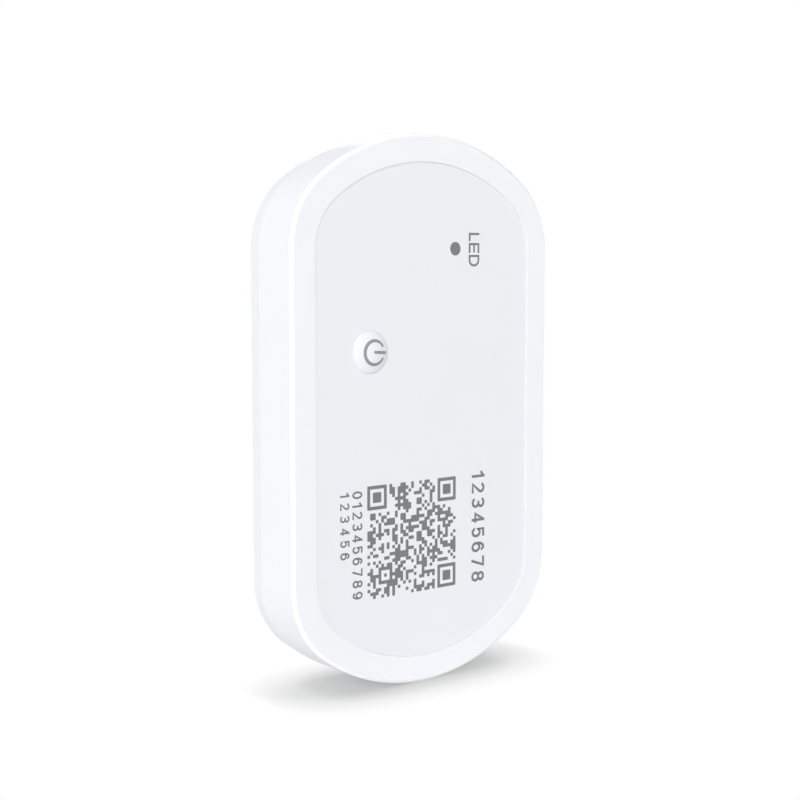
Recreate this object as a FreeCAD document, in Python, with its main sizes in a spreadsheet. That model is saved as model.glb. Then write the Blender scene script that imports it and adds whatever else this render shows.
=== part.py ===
import FreeCAD, Part
import enum
import math
import os
import re

import Sketcher

# Temperature data logger: a flat wireless logger in a two-part moulded case.
#
# Frame, in millimetres: the origin is the centre of the flat rear face, +X is to the right
# seen from the front, +Z runs up the length of the case and -Y points out of the front face.
# A level is a distance in front of the rear face, so a point on level 3 has Y = -3.
# Sketches on the XZ plane look at the front face, and their pads grow towards the front.

document = FreeCAD.newDocument("temperature_logger")

# Driving dimensions

SIZES = [
    # Case outline: straight sides, shallow round ends and corner arcs tangent to both.
    ("case_length", 65.0, "overall height of the outline"),
    ("case_width", 38.4, "overall width of the outline"),
    ("end_radius", 24.8, "radius of the round top and bottom ends"),
    ("corner_radius", 10.6, "radius of the four corner arcs"),
    # Case walls and levels.
    ("side_wall", 1.4, "side wall of the front cover"),
    ("front_wall", 1.5, "front wall of the front cover"),
    ("rear_wall", 1.2, "floor of the rear cover"),
    ("seam_level", 2.3, "level of the seam between the covers"),
    ("headroom", 1.5, "space between the board and the front wall"),
    ("front_chamfer", 0.37, "chamfer round the front edge"),
    ("inner_round", 0.5, "round between the side and front walls, inside"),
    ("rear_taper", 0.3, "how far the rear cover draws in, each side"),
    ("rear_round", 0.35, "round at the rear edge"),
    # Sunken floor for the label.
    ("rim_width", 3.05, "flat rim round the sunken floor"),
    ("recess_depth", 0.3, "depth of the sunken floor below the rim"),
    ("label_thickness", 0.15, "printed film"),
    ("label_gap", 0.3, "gap between the film and the recess wall"),
    # Lip, hooks and gasket of the rear cover.
    ("lip_gap", 0.1, "gap between the lip and the front cover's wall"),
    ("lip_thickness", 0.9, "wall of the lip"),
    ("lip_height", 1.6, "height of the lip above the seam"),
    ("gasket_inset", 0.35, "outline to the gasket groove"),
    ("gasket_width", 0.7, "width of the groove"),
    ("gasket_height", 0.5, "depth of the groove"),
    ("gasket_gap", 0.03, "gap between the gasket and its groove"),
    ("hook_count", 3, "snap hooks along each side"),
    ("hook_pitch", 11.0, "distance between the hooks"),
    ("hook_width", 4.0, "length of a hook along the side"),
    ("hook_reach", 0.35, "how far a hook stands out of the lip"),
    ("hook_height", 0.8, "height of a hook"),
    ("hook_land", 0.2, "straight part of a hook's face"),
    ("hook_lift", 0.5, "seam to the hook's catch"),
    ("hook_gap", 0.1, "gap between a hook and its window"),
    ("notch_width", 8.0, "opening notch at the bottom end"),
    ("notch_depth", 0.25, "depth of the opening notch"),
    ("notch_height", 0.6, "height of the opening notch"),
    # Coin cell.
    ("cell_end", 19.5, "bottom end of the case to the centre of the cell"),
    ("cell_diameter", 20.0, "cell can"),
    ("cell_height", 3.2, "cell, can floor to cap"),
    ("cell_sheet", 0.25, "sheet of the can and cap"),
    ("cell_seal", 0.3, "seal between the can and the cap"),
    ("cell_shoulder", 0.9, "can edge to the raised middle of the cap"),
    ("cell_crimp", 0.5, "how far the crimped rim lies below the cap's face"),
    ("cell_gap", 0.15, "floor of the rear cover to the clip"),
    # Contacts and the ring that keeps the cell in place.
    ("clip_sheet", 0.2, "spring sheet of the clip"),
    ("clip_width", 6.0, "width of the clip"),
    ("clip_gap", 0.5, "cell edge to the clip's legs"),
    ("clip_foot", 1.6, "soldered foot of the clip"),
    ("clip_window_length", 10.0, "cut-out in the middle of the clip, across"),
    ("clip_window_height", 2.4, "the same cut-out, along its width"),
    ("contact_diameter", 9.0, "negative contact"),
    ("contact_height", 0.15, "thickness of the negative contact"),
    ("cradle_gap", 0.25, "cell to the ring round it"),
    ("cradle_wall", 0.9, "wall of that ring"),
    ("cradle_height", 1.8, "height of that ring"),
    ("cradle_slot_gap", 0.5, "clip to the sides of the slots in the ring"),
    # Circuit board.
    ("board_thickness", 0.8, "circuit board"),
    ("board_gap", 0.4, "board edge to the front cover's wall"),
    ("tongue_width", 3.6, "sensor tongue in the board"),
    ("tongue_height", 4.2, "length of the sensor tongue"),
    ("slot_width", 0.8, "routed slot round the tongue"),
    ("tongue_root", 1.3, "board edge to the end of the slot"),
    # Screws and bosses.
    ("screw_side", 7.2, "side of the case to a screw"),
    ("screw_end", 8.0, "end of the case to a screw"),
    ("screw_diameter", 1.6, "screw shank"),
    ("screw_play", 0.02, "radial play of the thread in its boss"),
    ("screw_grip", 1.4, "length of the shank in the boss"),
    ("screw_head_diameter", 2.8, "screw head"),
    ("screw_head_height", 0.7, "screw head"),
    ("screw_slot_length", 1.6, "arm of the cross slot, end to end"),
    ("screw_slot_width", 0.4, "width of the cross slot"),
    ("screw_slot_depth", 0.4, "depth of the cross slot"),
    ("boss_diameter", 3.8, "boss on the front wall"),
    ("board_hole_play", 0.1, "radial play of the screws in the board"),
    # Ribs that hold up the middle of the board.
    ("rib_count", 3, "ribs behind the cell"),
    ("rib_pitch", 5.5, "distance between the ribs"),
    ("rib_length", 16.0, "length of a rib"),
    ("rib_thickness", 0.8, "thickness of a rib"),
    # Power key.
    ("key_side", 10.95, "left side of the case to the centre of the key"),
    ("key_end", 25.15, "top end of the case to the centre of the key"),
    ("key_diameter", 5.0, "key where it shows"),
    ("key_gap", 0.1, "radial gap round the key"),
    ("key_skirt", 0.15, "straight side above the film"),
    ("key_rise", 0.75, "rise of the dome above the skirt"),
    ("key_edge_round", 0.6, "round between the skirt and the dome"),
    ("key_flange", 0.4, "thickness of the flange inside"),
    ("key_flange_reach", 0.9, "how far the flange stands out"),
    ("key_flange_corner", 0.8, "corner round of the flange"),
    ("key_travel", 0.2, "travel of the key, the plunger and the snap dome"),
    ("guide_gap", 0.1, "flange to the frame round it"),
    ("guide_wall", 0.8, "wall of that frame"),
    ("guide_height", 0.5, "height of that frame"),
    # Push switch under the key.
    ("switch_size", 4.0, "side of the square switch"),
    ("switch_height", 0.65, "switch without its plunger"),
    ("switch_frame", 0.12, "sheet of the switch's metal cover"),
    ("switch_well", 3.0, "diameter of the switch's well"),
    ("switch_frame_lap", 0.3, "corner of the metal cover bent over the base"),
    ("plunger_diameter", 1.8, "plunger stem"),
    ("plunger_gap", 0.1, "radial gap round the stem and the collar"),
    ("plunger_collar", 0.12, "thickness of the plunger's collar"),
    ("plunger_play", 0.02, "collar to the metal cover, and to the dome"),
    ("dome_sheet", 0.04, "sheet of the snap dome"),
    ("dome_diameter", 2.7, "snap dome"),
    ("terminal_sheet", 0.12, "thickness of a switch tab"),
    ("terminal_length", 0.5, "switch tab, outwards"),
    ("terminal_width", 0.7, "switch tab, along the side"),
    ("terminal_pitch", 2.4, "between the two tabs of a side"),
    # Lamp and its light guide.
    ("lamp_side", 14.8, "right side of the case to the centre of the lamp window"),
    ("lamp_end", 13.3, "top end of the case to the centre of the lamp window"),
    ("guide_rod", 1.6, "diameter of the light guide where it shows"),
    ("guide_rod_gap", 0.05, "radial gap round the light guide"),
    ("guide_flange", 0.4, "thickness of the light guide's flange"),
    ("guide_flange_reach", 0.6, "how far that flange stands out"),
    ("guide_collar_wall", 0.6, "wall of the collar round that flange"),
    ("lamp_air", 0.1, "air between the lamp and the light guide"),
    ("lamp_length", 1.6, "lamp body"),
    ("lamp_width", 0.8, "lamp body"),
    ("lamp_base", 0.3, "height of the lamp's base"),
    ("lamp_lens", 0.35, "height of the lamp's clear top"),
    ("lamp_lens_inset", 0.25, "ends of the base to the clear top"),
    # Chips with moulded bodies.
    ("dimple_diameter", 0.4, "mark at the first corner of a chip"),
    ("dimple_depth", 0.05, "depth of that mark"),
    ("dimple_inset", 0.5, "chip edge to the middle of that mark"),
    ("chip_chamfer", 0.08, "chamfer round the top of a chip"),
    ("lead_count", 4, "leads along each side of the memory chip"),
    ("lead_pitch", 0.65, "distance between the leads"),
    ("lead_width", 0.25, "width of a lead"),
    ("lead_sheet", 0.13, "thickness of a lead"),
    ("lead_reach", 1.0, "chip side to the tip of a lead"),
    ("lead_knee", 0.4, "chip side to the bend of a lead"),
    ("lead_level", 0.45, "height where a lead leaves the chip"),
    ("lid_inset", 0.15, "edge of a crystal's base to its lid"),
    ("lid_height", 0.2, "height of that lid"),
    # Small two-ended parts.
    ("passive_length", 1.0, "capacitor or resistor"),
    ("passive_width", 0.5, "capacitor or resistor"),
    ("passive_cap", 0.22, "length of an end cap"),
    ("capacitor_height", 0.5, "chip capacitor"),
    ("resistor_height", 0.35, "chip resistor"),
    ("passive_pitch", 1.1, "distance between neighbours in a row up the case"),
    ("passive_gap", 1.2, "ends of neighbours in a row across the case"),
    ("antenna_cap", 0.6, "end cap of the antenna"),
]

# Flat chips: distance from a side and from an end of the case, width, length and height.
CHIPS = {
    "radio_chip": (14.55, 11.9, 5.0, 5.0, 0.85),
    "radio_crystal": (9.35, 10.5, 2.0, 1.6, 0.5),
    "clock_crystal": (14.55, 16.9, 3.2, 1.5, 0.75),
    "memory_chip": (11.75, 23.9, 3.0, 4.4, 1.0),
    "reservoir_capacitor": (10.55, 22.9, 3.5, 2.8, 1.9),
    "chip_antenna": (0.0, 4.1, 7.0, 2.0, 1.0),
    "temperature_sensor": (0.0, 5.5, 2.0, 2.0, 0.75),
}
CHIP_COLUMNS = ("side", "end", "width", "length", "height")

# Rows of small parts: kind, distance from a side and an end of the case for the first
# one, and the way the row runs.
PASSIVE_ROWS = {
    "radio_side": ("capacitor", 18.15, 13.6, "up"),
    "chip_below": ("resistor", 10.55, 14.9, "up"),
    "switch_side": ("capacitor", 16.55, 25.7, "up"),
    "memory_side": ("capacitor", 15.15, 24.9, "up"),
    "lamp_series": ("resistor", 11.95, 13.6, "up"),
    "antenna_feed": ("capacitor", 5.6, 5.3, "across"),
    "sensor_side": ("resistor", 5.4, 5.1, "up"),
}
ROW_COUNTS = {
    "radio_side": 4,
    "chip_below": 2,
    "switch_side": 2,
    "memory_side": 3,
    "lamp_series": 2,
    "antenna_feed": 2,
    "sensor_side": 2,
}

# These keep their distance from the left side, from the right side or from the bottom end.
# The rest are placed from the middle line and from the top end.
NEAR_LEFT = {"radio_chip", "radio_crystal", "clock_crystal", "radio_side", "chip_below", "switch_side"}
NEAR_RIGHT = {"memory_chip", "reservoir_capacitor", "memory_side", "lamp_series"}
NEAR_BOTTOM = {"temperature_sensor", "sensor_side"}

for chip, row in CHIPS.items():
    for column, value in zip(CHIP_COLUMNS, row):
        SIZES.append((f"{chip}_{column}", value, f"{chip}: {column}"))
for row, (kind, side, end, way) in PASSIVE_ROWS.items():
    SIZES.append((f"{row}_side", side, f"first {kind} of the row {row}, from a side of the case"))
    SIZES.append((f"{row}_end", end, f"first {kind} of the row {row}, from an end of the case"))
    SIZES.append((f"{row}_count", ROW_COUNTS[row], f"parts in the row {row}"))

sheet = document.addObject("Spreadsheet::Sheet", "sizes")
for number, (alias, value, note) in enumerate(SIZES, start=1):
    sheet.set(f"A{number}", note)
    sheet.set(f"B{number}", str(value))
    sheet.setAlias(f"B{number}", alias)
document.recompute()

ALIASES = {alias for alias, value, note in SIZES}

# Levels and places that follow from the driving dimensions

CLIP_REAR = "(rear_wall + cell_gap)"
CELL_REAR = f"({CLIP_REAR} + clip_sheet)"
BOARD_REAR = f"({CELL_REAR} + cell_height + contact_height)"
BOARD_FRONT = f"({BOARD_REAR} + board_thickness)"
INNER_FACE = f"({BOARD_FRONT} + headroom)"
CASE_FRONT = f"({INNER_FACE} + front_wall)"
LABEL_REAR = f"({CASE_FRONT} - recess_depth)"
LABEL_FRONT = f"({LABEL_REAR} + label_thickness)"
HALF_WIDTH = "case_width / 2"
HALF_LENGTH = "case_length / 2"
LIP_INSET = "(side_wall + lip_gap)"
LIP_INNER_INSET = f"({LIP_INSET} + lip_thickness)"
FLANGE_HALF = "(key_diameter / 2 + key_flange_reach)"
FLANGE_REAR = f"({INNER_FACE} - key_flange)"
SWITCH_TOP = f"({BOARD_FRONT} + switch_height)"
KEY_X = f"(key_side - {HALF_WIDTH})"
KEY_Z = f"({HALF_LENGTH} - key_end)"
LAMP_X = f"({HALF_WIDTH} - lamp_side)"
LAMP_Z = f"({HALF_LENGTH} - lamp_end)"
CELL_Z = f"(cell_end - {HALF_LENGTH})"
SCREW_X = f"({HALF_WIDTH} - screw_side)"
SCREW_Z = f"({HALF_LENGTH} - screw_end)"


def across_place(name):
    """How far across the case a chip or a row lies, from its distance to a side."""
    if name in NEAR_LEFT:
        return f"({name}_side - {HALF_WIDTH})"
    if name in NEAR_RIGHT:
        return f"({HALF_WIDTH} - {name}_side)"
    return f"{name}_side"


def end_place(name):
    """How far up the case a chip or a row lies, from its distance to an end."""
    sign = "-" if name in NEAR_BOTTOM else ""
    return f"{sign}({HALF_LENGTH} - {name}_end)"


def bound(text):
    """The expression with each size name pointing at the sheet."""
    return re.sub(r"[a-z][a-z_]*", lambda found: prefixed(found.group()), text)


def prefixed(word):
    return f"sizes.{word}" if word in ALIASES else word


def worth(text):
    """The value of an expression, in millimetres."""
    return float(sheet.evalExpression(bound(text)))


def whole(alias):
    return int(round(worth(alias)))


# Sketch helpers

FRONT_VIEW = "XZ_Plane"
PROFILE_VIEW = "XY_Plane"
SAME_PLACE = 1e-6


class Axis(enum.IntEnum):
    """The numbers of a sketch's own axes."""

    ACROSS = -1
    UP = -2


class Spot(enum.IntEnum):
    """The numbers of a curve's points."""

    START = 1
    END = 2
    CENTRE = 3


ORIGIN = (Axis.ACROSS, Spot.START)


def new_body(name, x="0", z="0"):
    body = document.addObject("PartDesign::Body", name)
    body.Label = name
    body.setExpression("Placement.Base.x", bound(x))
    body.setExpression("Placement.Base.z", bound(z))
    return body


def new_sketch(body, name, plane=FRONT_VIEW, level="0"):
    support = next(feature for feature in body.Origin.OriginFeatures if feature.Role == plane)
    sketch = body.newObject("Sketcher::SketchObject", name)
    sketch.AttachmentSupport = [(support, "")]
    sketch.MapMode = "FlatFace"
    sketch.setExpression("AttachmentOffset.Base.z", bound(level))
    return sketch


def constrain(sketch, *arguments, value=None):
    """Add a constraint, and bind it to the sheet where it has a size."""
    number = worth(value) if value is not None else None
    values = arguments if number is None else arguments + (number,)
    index = sketch.addConstraint(Sketcher.Constraint(*values))
    if value is not None:
        sketch.setExpression(f"Constraints[{index}]", bound(value))
    return index


def pin(sketch, geometry, position, across, up):
    """Hold a point of the sketch at a distance from both axes."""
    for kind, axis, place in (("DistanceX", Axis.UP, across), ("DistanceY", Axis.ACROSS, up)):
        number = worth(place)
        if abs(number) < SAME_PLACE:
            sketch.addConstraint(Sketcher.Constraint("PointOnObject", geometry, position, axis))
        elif number > 0:
            constrain(sketch, kind, *ORIGIN, geometry, position, value=place)
        else:
            constrain(sketch, kind, geometry, position, *ORIGIN, value=f"-({place})")


def point(across, up):
    return FreeCAD.Vector(worth(across), worth(up), 0)


def draw_polygon(sketch, corners):
    """A closed outline of straight lines with each corner held in place."""
    first = sketch.GeometryCount
    count = len(corners)
    for number in range(count):
        start = point(*corners[number])
        end = point(*corners[(number + 1) % count])
        sketch.addGeometry(Part.LineSegment(start, end), False)
    for number in range(count):
        following = first + (number + 1) % count
        constrain(sketch, "Coincident", first + number, Spot.END, following, Spot.START)
    for number, corner in enumerate(corners):
        pin(sketch, first + number, Spot.START, *corner)


def draw_rectangle(sketch, left, bottom, right, top):
    draw_polygon(sketch, [(left, bottom), (right, bottom), (right, top), (left, top)])


def draw_square(sketch, half, x="0", z="0"):
    draw_rectangle(sketch, f"{x} - {half}", f"{z} - {half}", f"{x} + {half}", f"{z} + {half}")


def draw_circle(sketch, diameter, x="0", z="0"):
    centre = point(x, z)
    radius = f"({diameter}) / 2"
    circle = Part.Circle(centre, FreeCAD.Vector(0, 0, 1), worth(radius))
    index = sketch.addGeometry(circle, False)
    pin(sketch, index, Spot.CENTRE, x, z)
    constrain(sketch, "Radius", index, value=radius)


def draw_outline(sketch, inset="0"):
    """The case outline, drawn in by an inset: sides, end arcs and corner arcs, all tangent."""
    half_width = f"{HALF_WIDTH} - ({inset})"
    half_length = f"{HALF_LENGTH} - ({inset})"
    end_radius = f"end_radius - ({inset})"
    corner_radius = f"corner_radius - ({inset})"
    side = worth(half_width)
    large = worth(end_radius)
    small = worth(corner_radius)
    end_height = worth(half_length) - large
    corner_side = side - small
    corner_height = end_height + math.sqrt((large - small) ** 2 - corner_side**2)
    tilt = math.atan2(corner_height - end_height, corner_side)

    def line(x, low, high):
        ends = FreeCAD.Vector(x, low, 0), FreeCAD.Vector(x, high, 0)
        return Part.LineSegment(*ends)

    def arc(x, y, radius, start, end):
        circle = Part.Circle(FreeCAD.Vector(x, y, 0), FreeCAD.Vector(0, 0, 1), radius)
        return Part.ArcOfCircle(circle, start, end)

    half_turn = math.pi
    full_turn = 2 * math.pi
    shapes = [
        line(side, -corner_height, corner_height),
        arc(corner_side, corner_height, small, 0, tilt),
        arc(0, end_height, large, tilt, half_turn - tilt),
        arc(-corner_side, corner_height, small, half_turn - tilt, half_turn),
        line(-side, corner_height, -corner_height),
        arc(-corner_side, -corner_height, small, half_turn, half_turn + tilt),
        arc(0, -end_height, large, half_turn + tilt, full_turn - tilt),
        arc(corner_side, -corner_height, small, full_turn - tilt, full_turn),
    ]
    first = sketch.GeometryCount
    for shape in shapes:
        sketch.addGeometry(shape, False)
    numbers = range(first, first + len(shapes))
    right, corner_1, top, corner_2, left, corner_3, bottom, corner_4 = numbers
    for number in range(len(shapes)):
        following = first + (number + 1) % len(shapes)
        constrain(sketch, "Tangent", first + number, Spot.END, following, Spot.START)
    constrain(sketch, "Vertical", right)
    constrain(sketch, "Vertical", left)
    constrain(sketch, "DistanceX", *ORIGIN, right, Spot.START, value=half_width)
    constrain(sketch, "DistanceX", left, Spot.START, *ORIGIN, value=half_width)
    pin(sketch, top, Spot.CENTRE, "0", f"{half_length} - ({end_radius})")
    pin(sketch, bottom, Spot.CENTRE, "0", f"({end_radius}) - ({half_length})")
    constrain(sketch, "Radius", top, value=end_radius)
    constrain(sketch, "Equal", top, bottom)
    constrain(sketch, "Radius", corner_1, value=corner_radius)
    for corner in (corner_2, corner_3, corner_4):
        constrain(sketch, "Equal", corner_1, corner)


def outline_inset(x, z):
    """How far inside the case outline a point lies."""
    side = worth(HALF_WIDTH)
    large = worth("end_radius")
    small = worth("corner_radius")
    end_height = worth(HALF_LENGTH) - large
    corner_side = side - small
    corner_height = end_height + math.sqrt((large - small) ** 2 - corner_side**2)
    x = abs(x)
    z = abs(z)
    if z <= corner_height:
        return side - x
    on_end = (z - end_height) * corner_side > (corner_height - end_height) * x
    if on_end:
        return large - math.hypot(x, z - end_height)
    return small - math.hypot(x - corner_side, z - corner_height)


# Feature helpers

CHANGE_LEAST = 1e-4
FULL_TURN = 360


def settle(body, feature, sign):
    """Recompute, and see that the feature added or took material."""
    before = settle.volumes.get(body.Name, 0.0)
    document.recompute()
    after = feature.Shape.Volume
    if sign * (after - before) < CHANGE_LEAST:
        raise RuntimeError(f"{feature.Name} changed nothing: {before:.4f} to {after:.4f}")
    settle.volumes[body.Name] = after
    return feature


settle.volumes = {}


def pad(body, sketch, length, middle=False):
    feature = body.newObject("PartDesign::Pad", f"{sketch.Name}_pad")
    feature.Profile = sketch
    feature.Midplane = middle
    feature.setExpression("Length", bound(length))
    sketch.Visibility = False
    return settle(body, feature, 1)


def cut(body, sketch, length, middle=False):
    """Cut from the sketch towards the front."""
    feature = body.newObject("PartDesign::Pocket", f"{sketch.Name}_cut")
    feature.Profile = sketch
    feature.Reversed = True
    feature.Midplane = middle
    feature.setExpression("Length", bound(length))
    sketch.Visibility = False
    return settle(body, feature, -1)


def turn(body, sketch):
    """Turn a profile about the line through the sketch's origin, along Y."""
    feature = body.newObject("PartDesign::Revolution", f"{sketch.Name}_turn")
    feature.Profile = sketch
    feature.ReferenceAxis = (sketch, ["V_Axis"])
    feature.Angle = FULL_TURN
    return settle(body, feature, 1)


def repeat(body, feature, sketch, axis, length, count, sign):
    """Repeat a feature along an axis of its sketch."""
    pattern = body.newObject("PartDesign::LinearPattern", f"{feature.Name}_row")
    pattern.Originals = [feature]
    pattern.Direction = (sketch, [axis])
    pattern.setExpression("Length", bound(length))
    pattern.setExpression("Occurrences", bound(count))
    body.Tip = pattern
    return settle(body, pattern, sign)


def edges_where(feature, test):
    names = []
    for number, edge in enumerate(feature.Shape.Edges, start=1):
        middle = edge.valueAt((edge.FirstParameter + edge.LastParameter) / 2)
        if test(edge, middle):
            names.append(f"Edge{number}")
    return names


def edges_at(feature, level, inset, slack=0.02):
    """Edges on one level and one inset of the case outline."""
    height = worth(level)
    away = worth(inset)

    def on_outline(edge, middle):
        flat = abs(edge.BoundBox.YMax - edge.BoundBox.YMin) < slack
        same_level = abs(-middle.y - height) < slack
        return flat and same_level and abs(outline_inset(middle.x, middle.z) - away) < slack

    return edges_where(feature, on_outline)


def dress(body, kind, feature, edges, size, sign=-1):
    """Round or chamfer named edges of the last feature."""
    if not edges:
        raise RuntimeError(f"no edges for {kind} on {feature.Name}")
    dressed = body.newObject(f"PartDesign::{kind}", f"{feature.Name}_{kind.lower()}")
    dressed.Base = (feature, edges)
    dressed.setExpression("Radius" if kind == "Fillet" else "Size", bound(size))
    return settle(body, dressed, sign)


def level_profile(sketch, points):
    """A closed profile of radius and level pairs, to be turned or extruded."""
    draw_polygon(sketch, [(across, f"-({level})") for across, level in points])


# Front cover

def make_front_cover():
    body = new_body("front_cover")
    outer = new_sketch(body, "front_outer", level="seam_level")
    draw_outline(outer)
    shell = pad(body, outer, f"{CASE_FRONT} - seam_level")
    front_edges = edges_at(shell, CASE_FRONT, "0")
    dress(body, "Chamfer", shell, front_edges, "front_chamfer")

    cavity = new_sketch(body, "front_cavity", level="seam_level")
    draw_outline(cavity, "side_wall")
    hollow = cut(body, cavity, f"{INNER_FACE} - seam_level")
    inner_edges = edges_at(hollow, INNER_FACE, "side_wall")
    dress(body, "Fillet", hollow, inner_edges, "inner_round", sign=1)

    recess = new_sketch(body, "label_recess", level=LABEL_REAR)
    draw_outline(recess, "rim_width")
    cut(body, recess, "recess_depth")

    bosses = new_sketch(body, "screw_bosses", level=BOARD_FRONT)
    for x, z in screw_places():
        draw_circle(bosses, "boss_diameter", x, z)
    pad(body, bosses, "headroom")

    guide = new_sketch(body, "key_guide", level=f"{INNER_FACE} - guide_height")
    draw_square(guide, f"({FLANGE_HALF} + guide_gap + guide_wall)", KEY_X, KEY_Z)
    draw_square(guide, f"({FLANGE_HALF} + guide_gap)", KEY_X, KEY_Z)
    pad(body, guide, "guide_height")

    collar = new_sketch(body, "lamp_collar", level=f"{INNER_FACE} - guide_flange")
    flange = "guide_rod + 2 * guide_flange_reach + 2 * guide_rod_gap"
    draw_circle(collar, f"{flange} + 2 * guide_collar_wall", LAMP_X, LAMP_Z)
    draw_circle(collar, flange, LAMP_X, LAMP_Z)
    pad(body, collar, "guide_flange")

    rib = new_sketch(body, "board_rib", level=BOARD_FRONT)
    rib_span = "rib_pitch * (rib_count - 1)"
    first_z = f"({CELL_Z} - {rib_span} / 2)"
    draw_rectangle(
        rib,
        "-(rib_length / 2)",
        f"{first_z} - rib_thickness / 2",
        "rib_length / 2",
        f"{first_z} + rib_thickness / 2",
    )
    first_rib = pad(body, rib, "headroom")
    repeat(body, first_rib, rib, "V_Axis", rib_span, "rib_count", 1)

    holes = new_sketch(body, "key_and_lamp_holes", level=INNER_FACE)
    draw_circle(holes, "key_diameter + 2 * key_gap", KEY_X, KEY_Z)
    draw_circle(holes, "guide_rod + 2 * guide_rod_gap", LAMP_X, LAMP_Z)
    cut(body, holes, "front_wall")

    pilots = new_sketch(body, "screw_pilots", level=BOARD_FRONT)
    for x, z in screw_places():
        draw_circle(pilots, "screw_diameter + 2 * screw_play", x, z)
    cut(body, pilots, "screw_grip + 2 * screw_play")

    window = new_sketch(body, "hook_windows", PROFILE_VIEW, HOOK_START)
    wall_face = f"({HALF_WIDTH} - side_wall)"
    window_floor = f"({wall_face} - lip_gap + hook_reach + hook_gap)"
    low = "-(seam_level + hook_lift + hook_height + hook_gap)"
    high = "-(seam_level + hook_lift - hook_gap)"
    draw_rectangle(window, f"{wall_face} - lip_thickness", low, window_floor, high)
    draw_rectangle(window, f"-{window_floor}", low, f"lip_thickness - {wall_face}", high)
    first_window = cut(body, window, "hook_width + 2 * hook_gap", middle=True)
    repeat(body, first_window, window, "N_Axis", HOOK_SPAN, "hook_count", -1)
    return body


HOOK_SPAN = "hook_pitch * (hook_count - 1)"
HOOK_START = f"-({HOOK_SPAN}) / 2"


def screw_places():
    return [
        (SCREW_X, SCREW_Z),
        (f"-{SCREW_X}", SCREW_Z),
        (f"-{SCREW_X}", f"-{SCREW_Z}"),
        (SCREW_X, f"-{SCREW_Z}"),
    ]


# Rear cover

def make_rear_cover():
    body = new_body("rear_cover")
    rear = new_sketch(body, "rear_face")
    draw_outline(rear, "rear_taper")
    seam = new_sketch(body, "seam_face", level="seam_level")
    draw_outline(seam)
    tray = body.newObject("PartDesign::AdditiveLoft", "tapered_tray")
    tray.Profile = rear
    tray.Sections = [seam]
    tray.Ruled = True
    settle(body, tray, 1)
    rear_edges = edges_at(tray, "0", "rear_taper")
    dress(body, "Fillet", tray, rear_edges, "rear_round")

    lip = new_sketch(body, "lip", level="seam_level")
    draw_outline(lip, LIP_INSET)
    draw_outline(lip, LIP_INNER_INSET)
    pad(body, lip, "lip_height")

    floor = new_sketch(body, "tray_floor", level="rear_wall")
    draw_outline(floor, LIP_INNER_INSET)
    cut(body, floor, "seam_level - rear_wall")

    groove = new_sketch(body, "gasket_groove", level="seam_level - gasket_height")
    draw_outline(groove, "gasket_inset")
    draw_outline(groove, "gasket_inset + gasket_width")
    cut(body, groove, "gasket_height")

    cradle = new_sketch(body, "cell_cradle", level="rear_wall")
    ring = "cell_diameter + 2 * cradle_gap"
    draw_circle(cradle, f"{ring} + 2 * cradle_wall", "0", CELL_Z)
    draw_circle(cradle, ring, "0", CELL_Z)
    pad(body, cradle, "cradle_height")

    slots = new_sketch(body, "clip_slots", level="rear_wall")
    slot_half = "(clip_width / 2 + cradle_slot_gap)"
    outside = "(cell_diameter / 2 + cradle_gap + 2 * cradle_wall)"
    draw_rectangle(
        slots, f"-{outside}", f"{CELL_Z} - {slot_half}", outside, f"{CELL_Z} + {slot_half}"
    )
    cut(body, slots, "cradle_height")

    hook = new_sketch(body, "snap_hooks", PROFILE_VIEW, HOOK_START)
    lip_face = f"({HALF_WIDTH} - {LIP_INSET})"
    root = f"({lip_face} - lip_thickness / 2)"
    tip = f"({lip_face} + hook_reach)"
    catch = "-(seam_level + hook_lift)"
    land = "-(seam_level + hook_lift + hook_land)"
    peak = "-(seam_level + hook_lift + hook_height)"
    draw_polygon(hook, [(root, catch), (tip, catch), (tip, land), (root, peak)])
    draw_polygon(
        hook, [(f"-{root}", catch), (f"-{tip}", catch), (f"-{tip}", land), (f"-{root}", peak)]
    )
    first_hook = pad(body, hook, "hook_width", middle=True)
    repeat(body, first_hook, hook, "N_Axis", HOOK_SPAN, "hook_count", 1)

    notch = new_sketch(body, "opening_notch", level="seam_level - notch_height")
    bottom = f"-({HALF_LENGTH})"
    draw_rectangle(
        notch,
        "-notch_width / 2",
        f"{bottom} - notch_depth",
        "notch_width / 2",
        f"{bottom} + notch_depth",
    )
    cut(body, notch, "notch_height")
    return body


# Gasket and label

def make_case_gasket():
    body = new_body("case_gasket")
    ring = new_sketch(body, "gasket_ring", level="seam_level - gasket_height + gasket_gap")
    draw_outline(ring, "gasket_inset + gasket_gap")
    draw_outline(ring, "gasket_inset + gasket_width - gasket_gap")
    pad(body, ring, "gasket_height - gasket_gap")
    return body


def make_front_label():
    body = new_body("front_label")
    film = new_sketch(body, "label_film", level=LABEL_REAR)
    draw_outline(film, "rim_width + label_gap")
    draw_circle(film, "key_diameter + 2 * key_gap", KEY_X, KEY_Z)
    draw_circle(film, "guide_rod + 2 * guide_rod_gap", LAMP_X, LAMP_Z)
    pad(body, film, "label_thickness")
    return body


# Power key: a flange that stops on the front wall, a stem through it and a domed top

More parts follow.
